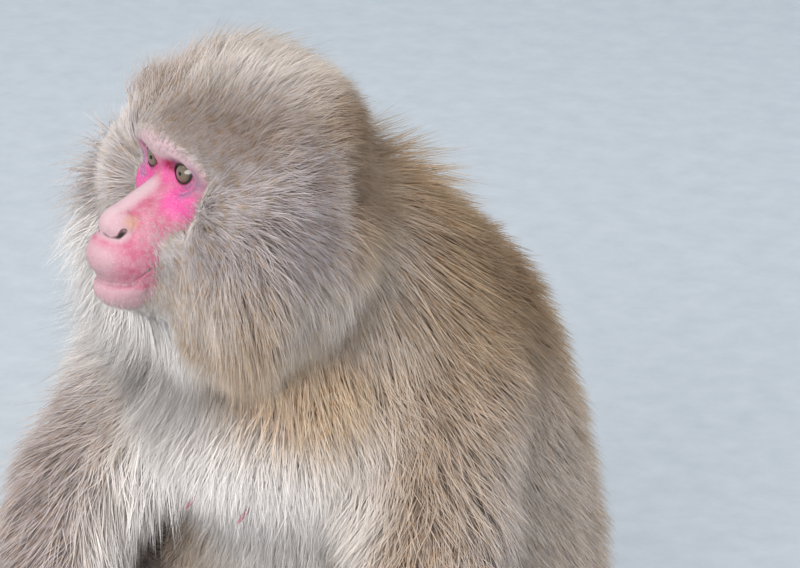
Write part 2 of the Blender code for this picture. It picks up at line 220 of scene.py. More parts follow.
# A rounded limb through the stations, its radius changing evenly from end to end.
def limbField(points, stations, startRadius, endRadius):
    stations = np.asarray(stations, float)
    field = np.full(len(points), 1e3)
    count = len(stations) - 1
    for place in range(count):
        start, axis = stations[place], stations[place + 1] - stations[place]
        share = np.clip((points - start) @ axis / (axis @ axis), 0, 1)
        radius = startRadius + (endRadius - startRadius) * (place + share) / count
        away = lengths(points - start - share[:, None] * axis) - radius
        field = np.minimum(field, away)
    return field


def softUnion(first, second, softness):
    overlap = np.maximum(softness - np.abs(first - second), 0) / softness
    return np.minimum(first, second) - overlap * overlap * softness / 4


def softCut(field, tool, softness):
    return -softUnion(-field, tool, softness)


# Bare skin: where the fur ends round the eyes, cheeks and muzzle
bareSkin = {
    "eyeBand": ((0, 0, 0), (40, 39, 19)),
    "cheek": ((5, 18, -16), (30, 17, 16)),
    "muzzle": ((42, 0, -46), (32, 34, 40)),
}


# Distance in millimetres from the edge of the bare skin, below zero on it.
def bareField(points):
    near = folded(points)
    field = np.full(len(points), 1e3)
    for centre, radii in bareSkin.values():
        field = softUnion(field, ballField(near, centre, radii), 8)
    return field


# The skin: the flesh nodes fused, then drawn in by the depth of the coat

# For each node: coat depth and hair length in mm, and the way the hair lies (outward, back, up)
coatPlan = {
    "head": (24, 26, (0.0, 0.6, -0.4)),
    "muzzle": (0.3, 5, (0.0, 0.6, -0.6)),
    "jaw": (0.5, 6, (0.0, 0.6, -0.8)),
    "eye": (0.0, 3, (0.0, 0.6, -0.4)),
    "ear": (11, 16, (0.3, 0.8, -0.2)),
    "neck": (27, 46, (0.0, 0.25, -1.0)),
    "chest": (26, 48, (0.0, 0.15, -1.0)),
    "belly": (26, 46, (0.15, 0.1, -1.0)),
    "rump": (26, 46, (0.35, 0.5, -0.9)),
    "tail": (8, 22, (0.0, 1.0, -0.35)),
    "upper_arm": (23, 46, (0.35, 0.30, -0.9)),
    "forearm": (16, 40, (0.25, -0.25, -0.9)),
    "hand": (1.2, 11, (0.0, -0.7, -0.7)),
    "thigh": (21, 40, (0.40, -0.25, -0.8)),
    "shin": (15, 34, (0.20, -0.15, -0.9)),
    "foot": (1.2, 11, (0.0, -1.0, -0.2)),
}
skinPlan = {
    "grow": 0.5 * mm,  # closes the thin cuts between the nodes
    "envelopeVoxel": 2.6 * mm,
    "skinVoxel": 2.2 * mm,
    "depthBlend": 14,  # rounds of evening out between one node's coat and the next
    "coverShare": 0.20,  # share of the faces kept where the coat hides them
}
ruffPlan = {  # how the head's coat differs, each as a share of its depth or length
    "crownFlatter": 0.3,
    "besideFace": 0.36,  # length at the edge of the bare skin
    "ruff": 0.55,
    "beard": 0.6,
    "farFringe": 1.3,
    "nearJowl": -0.42,
}
flesh = [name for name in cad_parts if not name.startswith("eye_")]


def stemOf(node):
    return node.removesuffix("_left").removesuffix("_right")


def outwardOf(node):
    return -1 if node.endswith("_right") else 1


def nodeCopy(node):
    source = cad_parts[node]
    copy = source.copy()
    copy.data = source.data.copy()
    link(copy)
    activate(copy)
    bpy.ops.object.mode_set(mode="EDIT")
    bpy.ops.mesh.select_all(action="SELECT")
    bpy.ops.mesh.remove_doubles(threshold=0.01 * mm)
    bpy.ops.object.mode_set(mode="OBJECT")
    return copy


# One closed shell round all the nodes, the eyes included so that no socket is a hole yet.
def fuseNodes():
    copies = [nodeCopy(node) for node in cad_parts]
    for copy in copies:
        applyModifier(copy, "DISPLACE", strength=skinPlan["grow"], mid_level=0)
    shell = joined("macaqueSkin", copies)
    shell.data.materials.clear()
    applyModifier(shell, "REMESH", mode="VOXEL", voxel_size=skinPlan["envelopeVoxel"])
    applyModifier(shell, "SMOOTH", factor=0.5, iterations=3)
    return shell


# The CAD surfaces as one tree, with the node that each face belongs to.
def nodeSurfaces():
    points, faces, owners = [], [], []
    for node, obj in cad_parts.items():
        faces.append(trianglesOf(obj) + sum(len(part) for part in points))
        points.append(placesOf(obj))
        owners += [node] * len(faces[-1])
    tree = BVHTree.FromPolygons(np.concatenate(points).tolist(), np.concatenate(faces).tolist())
    return tree, owners


# Depth, length and lie of the coat for each vertex, from the nearest node.
def coatFields(obj, surfaces):
    tree, owners = surfaces
    nodes = [owners[tree.find_nearest(point)[2]] for point in placesOf(obj).tolist()]
    plans = [coatPlan[stemOf(node)] for node in nodes]
    lie = np.array([plan[2] for plan in plans]) * np.c_[
        [outwardOf(node) for node in nodes], np.ones((len(nodes), 2))]
    fields = np.c_[[plan[:2] for plan in plans], lie]
    fields = spread(fields, read(obj.data.edges, "vertices", 2, np.int32), skinPlan["depthBlend"])
    head = toHead(placesOf(obj))
    bare = bareField(head)
    near = 1 - eased(fromSkull(head), 120, 150)
    crown = near * eased(head[:, 2], -10, 35)
    fields[:, 0] *= eased(bare, 0, 32) * (1 - ruffPlan["crownFlatter"] * crown)
    beard = near * eased(-head[:, 2], 25, 75)
    farFringe = near * eased(-head[:, 1], 10, 36) * (1 - 0.6 * beard)
    longer = 1 + ruffPlan["ruff"] * near * (1 - crown)
    longer += ruffPlan["beard"] * beard + ruffPlan["farFringe"] * farFringe
    longer *= 1 + ruffPlan["nearJowl"] * near * eased(-head[:, 2], 60, 95) * eased(head[:, 1], -10, 25)
    least = ruffPlan["besideFace"]
    fields[:, 1] *= (least + (1 - least) * eased(bare, 0, 24)) * longer
    return fields


# Draws the shell in by the coat's depth, so that the coat's tips reach its old place.
def drawIn(shell, surfaces):
    pairs = read(shell.data.edges, "vertices", 2, np.int32)
    depth = coatFields(shell, surfaces)[:, 0]
    normals = unit(spread(normalsOf(shell), pairs, 8))
    setPlaces(shell, placesOf(shell) - normals * depth[:, None] * mm)
    applyModifier(shell, "REMESH", mode="VOXEL", voxel_size=skinPlan["skinVoxel"])
    applyModifier(shell, "SMOOTH", factor=0.5, iterations=4)
    activate(shell)
    bpy.ops.object.shade_smooth()


# The face, shaped on distance fields: each form as centre, half sizes and softness of its join

faceForms = {
    "mask": ((-24, 0, -18), (30, 40, 38), 1),
    "forehead": ((-29, 0, 9), (32, 45, 28), 8),
    "maxilla": ((4, 0, -38), (31, 30, 25), 12),
    "jaw": ((0, 0, -62), (30, 26, 19), 10),
    "upperLip": ((23.5, 0, -46), (27.5, 23, 18), 8),
    "chin": ((23, 0, -66), (24.5, 18.5, 14.5), 5),
    "cheekbone": ((-9, 24, -16), (14, 17, 13), 8),
    "noseTip": ((35.3, 0, -28.3), (8.5, 9, 8), 4),
    "noseWing": ((33, 6.2, -29), (7.5, 6, 6), 3),
}
faceRidges = {  # stations, radius at each end, softness
    "brow": ([(0, 0, 14.5), (-0.5, 14, 15.5), (-5, 29, 12), (-12, 38, 4)], 8, 8, 10),
    "noseBridge": ([(-2, 0, -9), (30, 0, -26.3)], 8, 9.6, 5),
    "lowerLip": ([(41, 0, -64.5), (36, 11, -64.5), (28, 17, -62.5)], 4.2, 3.2, 4),
}
noseCrease = {  # the groove that sets the wing of the nose off from the cheek
    "stations": [(28.5, 7.5, -19.0), (27.0, 11.2, -21.5), (27.5, 13.2, -26.0), (30.5, 14.0, -30.0)],
    "depth": 0.9,
    "width": 1.3,
}
mouth = {
    "height": -60.0,  # where the lips meet
    "corner": 23.0,
    "rise": 9.5,  # how far the line climbs towards its corners
    "depth": 2.4,
    "width": 0.9,
}
nostril = {
    "slit": [(42.7, 2.8, -31.9), (40.6, 6.3, -33.6), (37.5, 10.2, -32.6), (36.0, 12.0, -29.6)],
    "radius": (0.85, 1.75),
    "inward": (-0.75, -0.25, 0.6),  # the way the nostril runs into the nose
    "depth": 4.2,
}
eyeForm = {
    "seat": (2.5, 0.0, 1.5),  # how far the ball sits forward of and above the CAD eye
    "turnOut": math.radians(14),  # the opening faces a little to the side
    "socketCentre": (7.6, 18.9, 0.6),
    "socketRadii": (11.8, 14.0, 9.8),
    "lidThickness": 1.0,
    "halfWidth": 7.7,
    "halfHeight": 5.5,
    "tilt": math.radians(14),  # the outer corner stands higher
    "drop": -0.2,
    "foldSpacing": 2.3,
    "foldDepth": 0.42,
}


# Places about the left eyeball's centre, turned so that the opening lies level.
def eyePlace(points):
    offset = points - (eyeForm["seat"] - np.array((eyeRadius, -eyeHalfSpacing, 0)))
    turnOut, turn, height = eyeForm["turnOut"], eyeForm["tilt"], offset[:, 2]
    side = offset[:, 1] * math.cos(turnOut) - offset[:, 0] * math.sin(turnOut)
    return np.c_[
        offset[:, 0] * math.cos(turnOut) + offset[:, 1] * math.sin(turnOut),
        side * math.cos(turn) + height * math.sin(turn),
        height * math.cos(turn) - side * math.sin(turn) + eyeForm["drop"],
    ]


# Distance to the almond between the lids, seen from the front.
def lidOpening(local):
    half, height = eyeForm["halfWidth"], eyeForm["halfHeight"]
    radius = (half * half + height * height) / (2 * height)
    upper = np.hypot(local[:, 1], local[:, 2] + radius - height) - radius
    lower = np.hypot(local[:, 1], local[:, 2] - radius + height) - radius
    return np.maximum(upper, lower)


# Fine folds that ring the lower and outer lid, out to the bag under the eye.
def lidFolds(local, opening):
    angle = np.arctan2(local[:, 2], local[:, 1])
    outerLow = eased(np.cos(angle + math.radians(42)), -0.1, 0.6)
    ring = eased(opening, 1.0, 2.5) * (1 - eased(opening, 6.5, 9.5))
    return outerLow * ring * np.cos(opening * 2 * math.pi / eyeForm["foldSpacing"])


# 1 along the line where the lips meet, fading to each side of it.
def mouthLine(near):
    towardsCorner = eased(-near[:, 0], -34, -mouth["corner"])
    height = near[:, 2] - mouth["height"] - mouth["rise"] * towardsCorner
    return np.exp(-np.square(height / mouth["width"])) * eased(near[:, 0], 20, 25)


def creaseShare(near):
    return np.exp(-np.square(limbField(near, noseCrease["stations"], 0, 0) / noseCrease["width"]))


def faceField(points):
    near = folded(points)
    field = np.full(len(points), 1e3)
    for centre, radii, softness in faceForms.values():
        field = softUnion(field, ballField(near, centre, radii), softness)
    for stations, startRadius, endRadius, softness in faceRidges.values():
        field = softUnion(field, limbField(near, stations, startRadius, endRadius), softness)
    field = softCut(field, ballField(near, eyeForm["socketCentre"], eyeForm["socketRadii"]), 4)

    field += mouth["depth"] * mouthLine(near)
    field += noseCrease["depth"] * creaseShare(near)

    local = eyePlace(near)
    radius = lengths(local)
    field = softUnion(field, radius - eyeRadius - eyeForm["lidThickness"], 2.2)
    opening = lidOpening(local)
    frontOnly = np.maximum(opening, -local[:, 0])
    field -= eyeForm["foldDepth"] * lidFolds(local, opening) * (local[:, 0] > 0)
    hole = np.maximum(frontOnly, eyeRadius - 1.3 - radius)
    return softCut(field, hole, 0.8)


# Moves head places on to the face's surface, the ones that are still off it step by step
def settled(points, rounds=7, probe=0.15, near=0.04, stride=1.5):
    points = points.copy()
    loose = np.arange(len(points))
    for _ in range(rounds):
        values = faceField(points[loose])
        loose, values = loose[np.abs(values) > near], values[np.abs(values) > near]
        if not len(loose):
            break
        here = points[loose]
        slope = np.stack(
            [(faceField(here + shift) - values) / probe for shift in np.eye(3) * probe], axis=1)
        step = values[:, None] * slope / np.maximum(np.sum(slope * slope, axis=1), 0.5)[:, None]
        length = np.linalg.norm(step, axis=1, keepdims=True)
        points[loose] = here - 0.85 * step * np.minimum(1, stride / np.maximum(length, 1e-6))
    return points


# Enters edit mode with the chosen faces selected.
def selectFaces(obj, chosen):
    activate(obj)
    bpy.ops.object.mode_set(mode="EDIT")
    bpy.ops.mesh.select_mode(type="FACE")
    bpy.ops.mesh.select_all(action="DESELECT")
    bpy.ops.object.mode_set(mode="OBJECT")
    obj.data.polygons.foreach_set("select", chosen)
    bpy.ops.object.mode_set(mode="EDIT")


# Finer faces in three steps: the bare skin, then eyes and muzzle, then lids and nostrils.
def refineFace(skin):
    zones = [
        lambda p: bareField(p) < 6,
        lambda p: (bareField(p) < 1) & (
            (lidOpening(eyePlace(folded(p))) < 7) | (p[:, 0] > 24)),
        lambda p: (lidOpening(eyePlace(folded(p))) < 1.5) & (p[:, 0] > -9)
        | (limbField(folded(p), nostril["slit"], 4, 4) < 0),
    ]
    for zone in zones:
        centres = toHead(read(skin.data.polygons, "center", 3))
        inHead = lengths(centres) < 120
        chosen = np.zeros(len(centres), bool)
        chosen[inHead] = zone(centres[inHead])
        selectFaces(skin, chosen)
        bpy.ops.mesh.subdivide(number_cuts=1)
        bpy.ops.object.mode_set(mode="OBJECT")
        shapeFace(skin)


# Moves the bare face on to its field, and fades out under the fur.
def shapeFace(skin):
    places = placesOf(skin)
    local = toHead(places)
    bare = np.full(len(local), 1e3)
    close = lengths(local) < 130
    bare[close] = bareField(local[close])
    chosen = np.flatnonzero(bare < 14)
    start = local[chosen]
    share = 1 - eased(bare[chosen], 3, 14)
    pairs = read(skin.data.edges, "vertices", 2, np.int32)
    for turn in range(2):
        points = settled(local[chosen])
        local[chosen] = start + (points - start) * share[:, None]
        if turn == 0:
            even = spread(local, pairs, 1)
            local[chosen] += (even[chosen] - local[chosen]) * share[:, None]
    places[chosen] = fromHead(local[chosen])
    setPlaces(skin, places)


# How far each place lies inside a nostril: 1 along its slit and 0 from its rim on.
def nostrilShare(near):
    return 1 - eased(limbField(near, nostril["slit"], *nostril["radius"]), -0.9, 0.55)


def pushNostrils(skin):
    places = placesOf(skin)
    local = toHead(places)
    close = np.flatnonzero(lengths(local - (40, 0, -32)) < 25)
    near = folded(local[close])
    push = np.array(nostril["inward"]) * np.where(local[close, 1:2] < 0, (1, -1, 1), 1)
    local[close] += push * (nostril["depth"] * nostrilShare(near))[:, None]
    places[close] = fromHead(local[close])
    setPlaces(skin, places)


# Fewer faces where the coat hides the skin.
def thinCover(skin):
    centres = read(skin.data.polygons, "center", 3).astype(float)
    local = toHead(centres)
    depth = coatDepth(centres)
    hidden = (depth > 4 * mm) & ~((lengths(local) < 120) & (bareField(local) < 10))
    selectFaces(skin, hidden)
    bpy.ops.mesh.decimate(ratio=skinPlan["coverShare"])
    bpy.ops.object.mode_set(mode="OBJECT")


# Distance from each point to the coat's outside, in metres.
def coatDepth(points):
    return np.array([envelope.find_nearest(point)[3] for point in points.tolist()])


surfaces = nodeSurfaces()
skin = fuseNodes()
report(f"nodes fused: {len(skin.data.polygons)} faces")
envelope = treeOf(skin)
drawIn(skin, surfaces)
report(f"skin drawn in: {len(skin.data.polygons)} faces")
refineFace(skin)
pushNostrils(skin)
report(f"face shaped: {len(skin.data.polygons)} faces")


# Colours and materials


def linear(colour):
    channels = [int(colour[place : place + 2], 16) / 255 for place in (1, 3, 5)]
    return [c / 12.92 if c <= 0.04045 else ((c + 0.055) / 1.055) ** 2.4 for c in channels]


def shade(colour):
    return (*linear(colour), 1.0)


# Adds a node with its settings, values and links, and gives back its first or named output
def addNode(tree, kind, settings=None, inputs=None, output=0):
    node = tree.nodes.new("ShaderNode" + kind)
    for key, value in (settings or {}).items():
        setattr(node, key, value)
    for key, value in (inputs or {}).items():
        if isinstance(value, bpy.types.NodeSocket):
            tree.links.new(value, node.inputs[key])
        else:
            node.inputs[key].default_value = value
    return node.outputs[output]


def mixColours(tree, share, first, second, way="MIX"):
    return addNode(
        tree, "Mix", {"data_type": "RGBA", "blend_type": way}, {0: share, 6: first, 7: second}, 2)


def reckon(tree, operation, first, second=0.0, clamped=False):
    return addNode(tree, "Math", {"operation": operation, "use_clamp": clamped}, {0: first, 1: second})


def ramp(tree, value, low, high, start=0.0, end=1.0):
    return addNode(
        tree, "MapRange", {"interpolation_type": "SMOOTHSTEP"},
        {0: value, 1: low, 2: high, 3: start, 4: end})


def attribute(tree, name, output="Fac"):
    return addNode(tree, "Attribute", {"attribute_name": name}, output=output)


def startMaterial(name, **constants):
    made = bpy.data.materials.new(name)
    made.use_nodes = True
    surface = made.node_tree.nodes["Principled BSDF"]
    for key, value in constants.items():
        surface.inputs[key.replace("_", " ")].default_value = value
    return made, made.node_tree, surface


def noise(tree, size, detail=2.0, roughness=0.5):
    place = addNode(tree, "TexCoord", output="Object")
    return addNode(
        tree, "TexNoise", {},
        {"Vector": place, "Scale": 1 / size, "Detail": detail, "Roughness": roughness})


def bump(tree, surface, height, distance, strength=1.0, after=None):
    inputs = {"Height": height, "Distance": distance, "Strength": strength}
    if after is not None:
        inputs["Normal"] = after
    made = addNode(tree, "Bump", {}, inputs)
    tree.links.new(made, surface.inputs["Normal"])
    return made


# Markings of skin and coat alike: their colours from a hair's root to its tip

markings = {
    "root": {"brown": "#705B46", "grey": "#746B68", "pale": "#DAD3D0", "warm": "#8C6A45"},
    "middle": {"brown": "#9A8169", "grey": "#9A8F90", "pale": "#EAE5E2", "warm": "#BA946A"},
    "tip": {"brown": "#C5AE92", "grey": "#BBB4B5", "pale": "#F6F3F2", "warm": "#D5B98F"},
}


# Soft patches of colour and of painted shade, as centre and half sizes: in metres on the body, in millimetres
# on the head
bodyPatches = {
    # the tan band under the ruff: the coat's own warm colour, with painted shade in the crease under the ruff
    "collar": ((0.045, -0.10, 0.312), (0.085, 0.10, 0.052)),
    "flank": ((0.14, 0.04, 0.18), (0.09, 0.19, 0.17)),
    "lap": ((0.0, -0.07, 0.10), (0.12, 0.10, 0.14)),
    # painted shade on the back behind the ruff
    "shoulder": ((0.07, 0.05, 0.32), (0.085, 0.10, 0.09)),
}
headPatches = {
    "crown": ((-64, 4, 42), (66, 70, 44)),
    "jowl": ((-72, 44, -74), (36, 44, 44)),
    # painted shade on the forehead and on the head behind the ear
    "forehead": ((-28, 20, 24), (56, 66, 42)),
    "ear": ((-104, 44, -5), (38, 44, 66)),
}


# For each place, how pale, warm and grey its hair is, and how much painted shade darkens it
def coatMarks(points):
    head = toHead(points)
    x, y, z = points.T
    ahead, aside, rise = head.T
    reach = 32 * eased(-aside, 15, 60)
    onHead = eased(rise, -118, -88) * (1 - eased(fromSkull(head) - reach, 105, 140))
    onBody = 1 - onHead
    at = {name: patch(points, *place) for name, place in bodyPatches.items()}
    at |= {name: patch(head, *place) for name, place in headPatches.items()}
    front = eased(-y, 0.01, 0.07) * (1 - eased(np.abs(x), 0.072, 0.12)) * onBody
    front *= 1 - eased(-y, 0.125, 0.165)
    rightArm = eased(-x, 0.055, 0.10) * eased(-y, 0.0, 0.06) * onBody
    # the collar band: warm coat, with painted shade in the crease under the ruff
    collar = at["collar"] * onBody
    crown = eased(rise, 10, 32)
    nearSide, farSide = eased(aside, 0, 28), eased(-aside, -5, 30)
    low = eased(-rise, 35, 85)
    behind = np.maximum(1 - eased(ahead, -98, -45), 0.45 * low * nearSide)

    breast = front * (0.75 * eased(0.38 - z, 0.0, 0.05) + 0.25 * eased(0.27 - z, 0.0, 0.03))
    breast *= (1 - 0.75 * collar) * (1 - 0.8 * rightArm) * (1 - 0.3 * eased(x, 0.03, 0.07))
    pale = np.maximum.reduce([
        breast,
        0.26 * at["flank"],
        0.6 * onBody * at["lap"],
        onHead * eased(ahead, -90, -30) * (0.03 + 0.16 * farSide) * (1 - 0.7 * crown),
        0.30 * onHead * (1 - eased(bareField(head), 4, 22)) * (1 - crown),
        0.42 * onHead * at["crown"],
        0.95 * low * (1 - nearSide) * (1 - eased(-rise, 110, 190)) * (ahead > -90),
        0.30 * onHead * low * nearSide,
        0.75 * at["jowl"],
    ])
    warm = np.maximum.reduce([
        0.30 * onBody * eased(y, -0.06, 0.08),
        0.75 * collar,
        0.35 * front * eased(0.36 - z, 0.0, 0.05) * eased(x, 0.0, 0.05),
        0.5 * onHead * eased(-rise, 84, 112) * nearSide,
    ])
    grey = np.maximum.reduce([
        0.5 * front,
        0.85 * rightArm,
        0.25 * onBody * eased(-y, -0.02, 0.05),
        0.5 * at["flank"],
        onHead * (1 - 0.95 * behind) * (0.95 - 0.3 * crown) * (1 - 0.35 * low * nearSide),
    ])
    # painted shade: the hair darkened on the forehead, behind the ear and on the back behind the ruff
    shadow = np.maximum.reduce([
        0.6 * onHead * at["forehead"],
        0.6 * onHead * at["ear"],
        0.8 * onBody * at["shoulder"],
    ])
    return np.c_[pale, warm, grey], shadow


def coatColour(tree, marks, shadow, level):
    separate = tree.nodes.new("ShaderNodeSeparateXYZ")
    tree.links.new(marks, separate.inputs[0])
    colours = markings[level]
    colour = mixColours(tree, separate.outputs["Z"], shade(colours["brown"]), shade(colours["grey"]))
    colour = mixColours(tree, separate.outputs["Y"], colour, shade(colours["warm"]))
    colour = mixColours(tree, separate.outputs["X"], colour, shade(colours["pale"]))
    # painted shade: the shadow mark multiplies the colour towards a shaded brown
    return mixColours(tree, shadow, colour, shade("#8C7F76"), "MULTIPLY")


# Living skin: flushed, faintly damp and finely creased, soft where light enters it
def skinMaterial():
    made, tree, surface = startMaterial(
        "macaqueSkin", Roughness=0.52, Subsurface_Scale=0.004, IOR=1.42)
    glow = reckon(tree, "MULTIPLY", attribute(tree, "bare"), 0.12)  # light enters bare skin only
    tree.links.new(glow, surface.inputs["Subsurface Weight"])
    surface.inputs["Subsurface Radius"].default_value = (1.0, 0.35, 0.25)
    surface.inputs["Specular IOR Level"].default_value = 0.35
    tints = faceColours
    blotch = noise(tree, 6 * mm, 4)  # uneven flush
    streaks = noise(tree, 2.6 * mm, 4, 0.6)  # broken streaks for the lilac, drawn coarse so that they show
    fine = noise(tree, 1.2 * mm, 3)  # pale dry flecks

    # a tint's share, uneven with a pattern: lilac in streaks, the others in blotches
    def masked(name):
        pattern, sway, least = (streaks, 2.0, -0.25) if name == "lilac" else (blotch, 0.5, 0.75)
        swayed = reckon(tree, "MULTIPLY_ADD", pattern, sway)
        swayed.node.inputs[2].default_value = least
        return reckon(tree, "MULTIPLY", reckon(tree, "MULTIPLY", attribute(tree, name), swayed), 0.9, True)

    face = mixColours(tree, ramp(tree, blotch, 0.35, 0.65), shade(tints["rose"]), shade(tints["roseDeep"]))
    # crimson and lilac carry painted shade under the brow, in the groove beside the nose and in the lid folds
    for name in ("magenta", "crimson", "pallor", "peach", "lilac", "lip"):
        face = mixColours(tree, masked(name), face, shade(tints[name]))
    face = mixColours(tree, ramp(tree, fine, 0.52, 0.75, 0, 0.25), face, shade(tints["fleck"]))
    # dark lid margins, and painted shade in the nostrils and along the mouth slit
    face = mixColours(tree, attribute(tree, "dark"), face, shade(tints["dark"]))
    paws = mixColours(tree, ramp(tree, blotch, 0.3, 0.7), shade(tints["paw"]), shade(tints["pawDark"]))
    under = coatColour(tree, attribute(tree, "coatMarks", "Vector"), attribute(tree, "coatShadow"), "middle")
    colour = mixColours(tree, attribute(tree, "paw"), under, paws)
    colour = mixColours(tree, attribute(tree, "bare"), colour, face)
    tree.links.new(colour, surface.inputs["Base Color"])
    creases = noise(tree, 1.6 * mm, 5, 0.65)
    pores = addNode(tree, "TexVoronoi", {"feature": "DISTANCE_TO_EDGE"}, {
        "Vector": addNode(tree, "TexCoord", output="Object"), "Scale": 1 / (1.1 * mm)})
    first = bump(tree, surface, creases, 0.6 * mm, 0.8)
    bump(tree, surface, pores, 0.15 * mm, 0.4, first)
    return made


faceColours = {
    "rose": "#AB7080", "roseDeep": "#A4546C", "magenta": "#BF4285", "crimson": "#7E082B",
    "pallor": "#AC959A", "peach": "#B98C70", "lilac": "#6E5C7C", "lip": "#A27D87",
    "fleck": "#D2A3B7", "dark": "#2A1A1A", "paw": "#7F6C62", "pawDark": "#62514A",
}


# Soft patches of tint: their share, centre and half sizes in mm, and where each fades in and out
facePatches = {
    "magenta": [(1.0, (2, 22, -14), (16, 17, 13), 0.45, 1.15), (0.8, (0, 8, 0), (12, 9, 12), 0.5, 1.1)],
    # crimson: the red skin, its first patch deepened by painted shade under the brow by the inner corner of
    # the eye
    "crimson": [(1.0, (1, 10, 4.5), (9, 9, 6.5), 0.3, 1.1), (0.55, (10, 26, -44), (13, 9, 13), 0.3, 1.1)],
    "lilac": [(0.5, (-4, 33, -2), (9, 8, 10), 0.3, 1.1)],
    "peach": [(0.6, (30, 11, -25), (6, 5, 6), 0.3, 1.2)],
}


# Paints the face in its head frame, as soft fields
def paintSkin(skin):
    places = placesOf(skin)
    head = toHead(places)
    near = folded(head)
    x, y, z = near.T
    inHead = lengths(head) < 130
    bareEdge = np.where(inHead, bareField(head), 1e3)
    local = eyePlace(near)
    opening = lidOpening(local)
    eyeFront = eased(local[:, 0], 0, 3)
    ridge = limbField(near, [(4, 0, 0), (24, 0, -13), (44, 0, -27)], 0, 0)

    bare = 1 - eased(bareEdge, 0.5, 5)
    brow = eased(z, 6.5, 10.5) * (1 - eased(ridge, 60, 61))
    bridge = (1 - eased(ridge, 4, 10)) * eased(x, 4, 12)
    noseBall = 1 - eased(limbField(near, [(38, 0, -28), (36, 7, -28)], 0, 0), 7, 12)
    upperLipFront = eased(x, 36, 48) * eased(-z, 34, 40) * 0.75
    chin = eased(-z, 61, 64)
    outer = eased(y, 26, 34) * eased(z, -8, 4) * 0.8
    pallor = np.maximum.reduce([brow, bridge, noseBall * 0.85, upperLipFront, 0.7 * chin, outer])
    tint = {name: np.maximum.reduce([share * patch(near, *place) for share, *place in patches])
            for name, patches in facePatches.items()}
    magenta = tint["magenta"] * (1 - np.maximum(brow, 0.9 * bridge))
    # painted shade in the groove beside the nose wing, as crimson
    crimson = np.maximum(tint["crimson"], 0.35 * creaseShare(near))
    angle = np.arctan2(local[:, 2], local[:, 1])
    outerLow = eased(np.cos(angle + math.radians(38)), 0.0, 0.8)
    # lilac on the folds under the eye: the skin's lilac, with painted shade in the folds
    bag = 1.1 * np.exp(-np.square((opening - 6.4) / 1.5)) + 0.9 * np.exp(-np.square((opening - 2.4) / 1.0))
    lilac = eyeFront * outerLow * np.clip(bag, 0, 1)
    # lilac on the upper lid: the lid's own tint, with painted shade under the brow
    upperLid = eyeFront * eased(local[:, 2], 2, 5) * np.exp(-np.square((opening - 2) / 2.2))
    lilac = np.maximum(lilac, 0.7 * upperLid)
    lilac = np.maximum(lilac, tint["lilac"])
    lip = eased(x, 22, 32) * np.exp(-np.square((z - mouth["height"] - 1) / 2.4)) * 0.55
    inner = folded(head - np.array(nostril["inward"]) * (1, 0, 1) * 1.5)
    pit = np.maximum(nostrilShare(near), nostrilShare(inner)) * (x > 30)
    # dark lid margins, widened along the upper rim into painted shade under the brow; painted shade in the
    # nostrils and along the mouth slit
    dark = np.maximum.reduce([
        eyeFront * (1 - eased(opening, 0.4, 1.5 + 1.1 * eased(local[:, 2], 0, 4))),
        pit * (0.5 + 0.5 * eased(y, 3, 8)),
        (0.42 + 0.25 * eased(-x, -38, -27)) * mouthLine(near) ** 2,
    ])
    paints = {
        "bare": bare, "magenta": magenta, "crimson": crimson, "pallor": pallor,
        "peach": tint["peach"], "lilac": lilac, "lip": lip, "dark": dark * bare,
    }
    for name, values in paints.items():
        addAttribute(skin, name, np.clip(values, 0, 1) * inHead)
    depth = coatDepth(places) / mm
    addAttribute(skin, "paw", (1 - eased(depth, 2, 5)) * ~inHead)
    marks, shadow = coatMarks(places)
    addAttribute(skin, "coatMarks", marks)
    addAttribute(skin, "coatShadow", shadow)


# The eyes: whole balls with a raised cornea, olive-brown iris, small pupil and dark white

eyePlan = {
    "gazeUp": math.radians(5),
    "gazeAside": math.radians(-15),  # a glance towards the animal's left
    "corneaRadius": 6.6,
    "corneaRise": 0.7,
    "irisRadius": 5.7,
    "pupilRadius": 1.15,
    "colours": {"iris": "#685E4F", "irisRing": "#42372B", "limbus": "#1E1410", "white": "#4A342E",
                "pupil": "#040303"},
}


# Wet cornea over a fibrous iris: a sharp highlight on a soft ring of colour
def eyeMaterial():
    made, tree, surface = startMaterial(
        "corneaAndIris", Roughness=0.12, Coat_Weight=0.7, Coat_Roughness=0.02, Coat_IOR=1.376, IOR=1.376)
    colours = {name: shade(value) for name, value in eyePlan["colours"].items()}
    away = attribute(tree, "gazeDistance")
    fibres = addNode(tree, "TexNoise", {}, {
        "Vector": attribute(tree, "irisPlace", "Vector"), "Scale": 2.6, "Detail": 4.0})
    radius, pupil = eyePlan["irisRadius"], eyePlan["pupilRadius"]
    colour = mixColours(tree, ramp(tree, fibres, 0.3, 0.8, 0, 0.7), colours["iris"], colours["irisRing"])
    ring = ramp(tree, away, radius * 0.62, radius * 0.98, 0, 0.85)
    colour = mixColours(tree, ring, colour, colours["irisRing"])
    colour = mixColours(tree, ramp(tree, away, radius * 0.92, radius * 1.02), colour, colours["limbus"])
    colour = mixColours(tree, ramp(tree, away, radius * 1.05, radius * 1.3), colour, colours["white"])
    colour = mixColours(tree, ramp(tree, away, pupil * 0.9, pupil * 1.15), colours["pupil"], colour)
    tree.links.new(colour, surface.inputs["Base Color"])
    return made


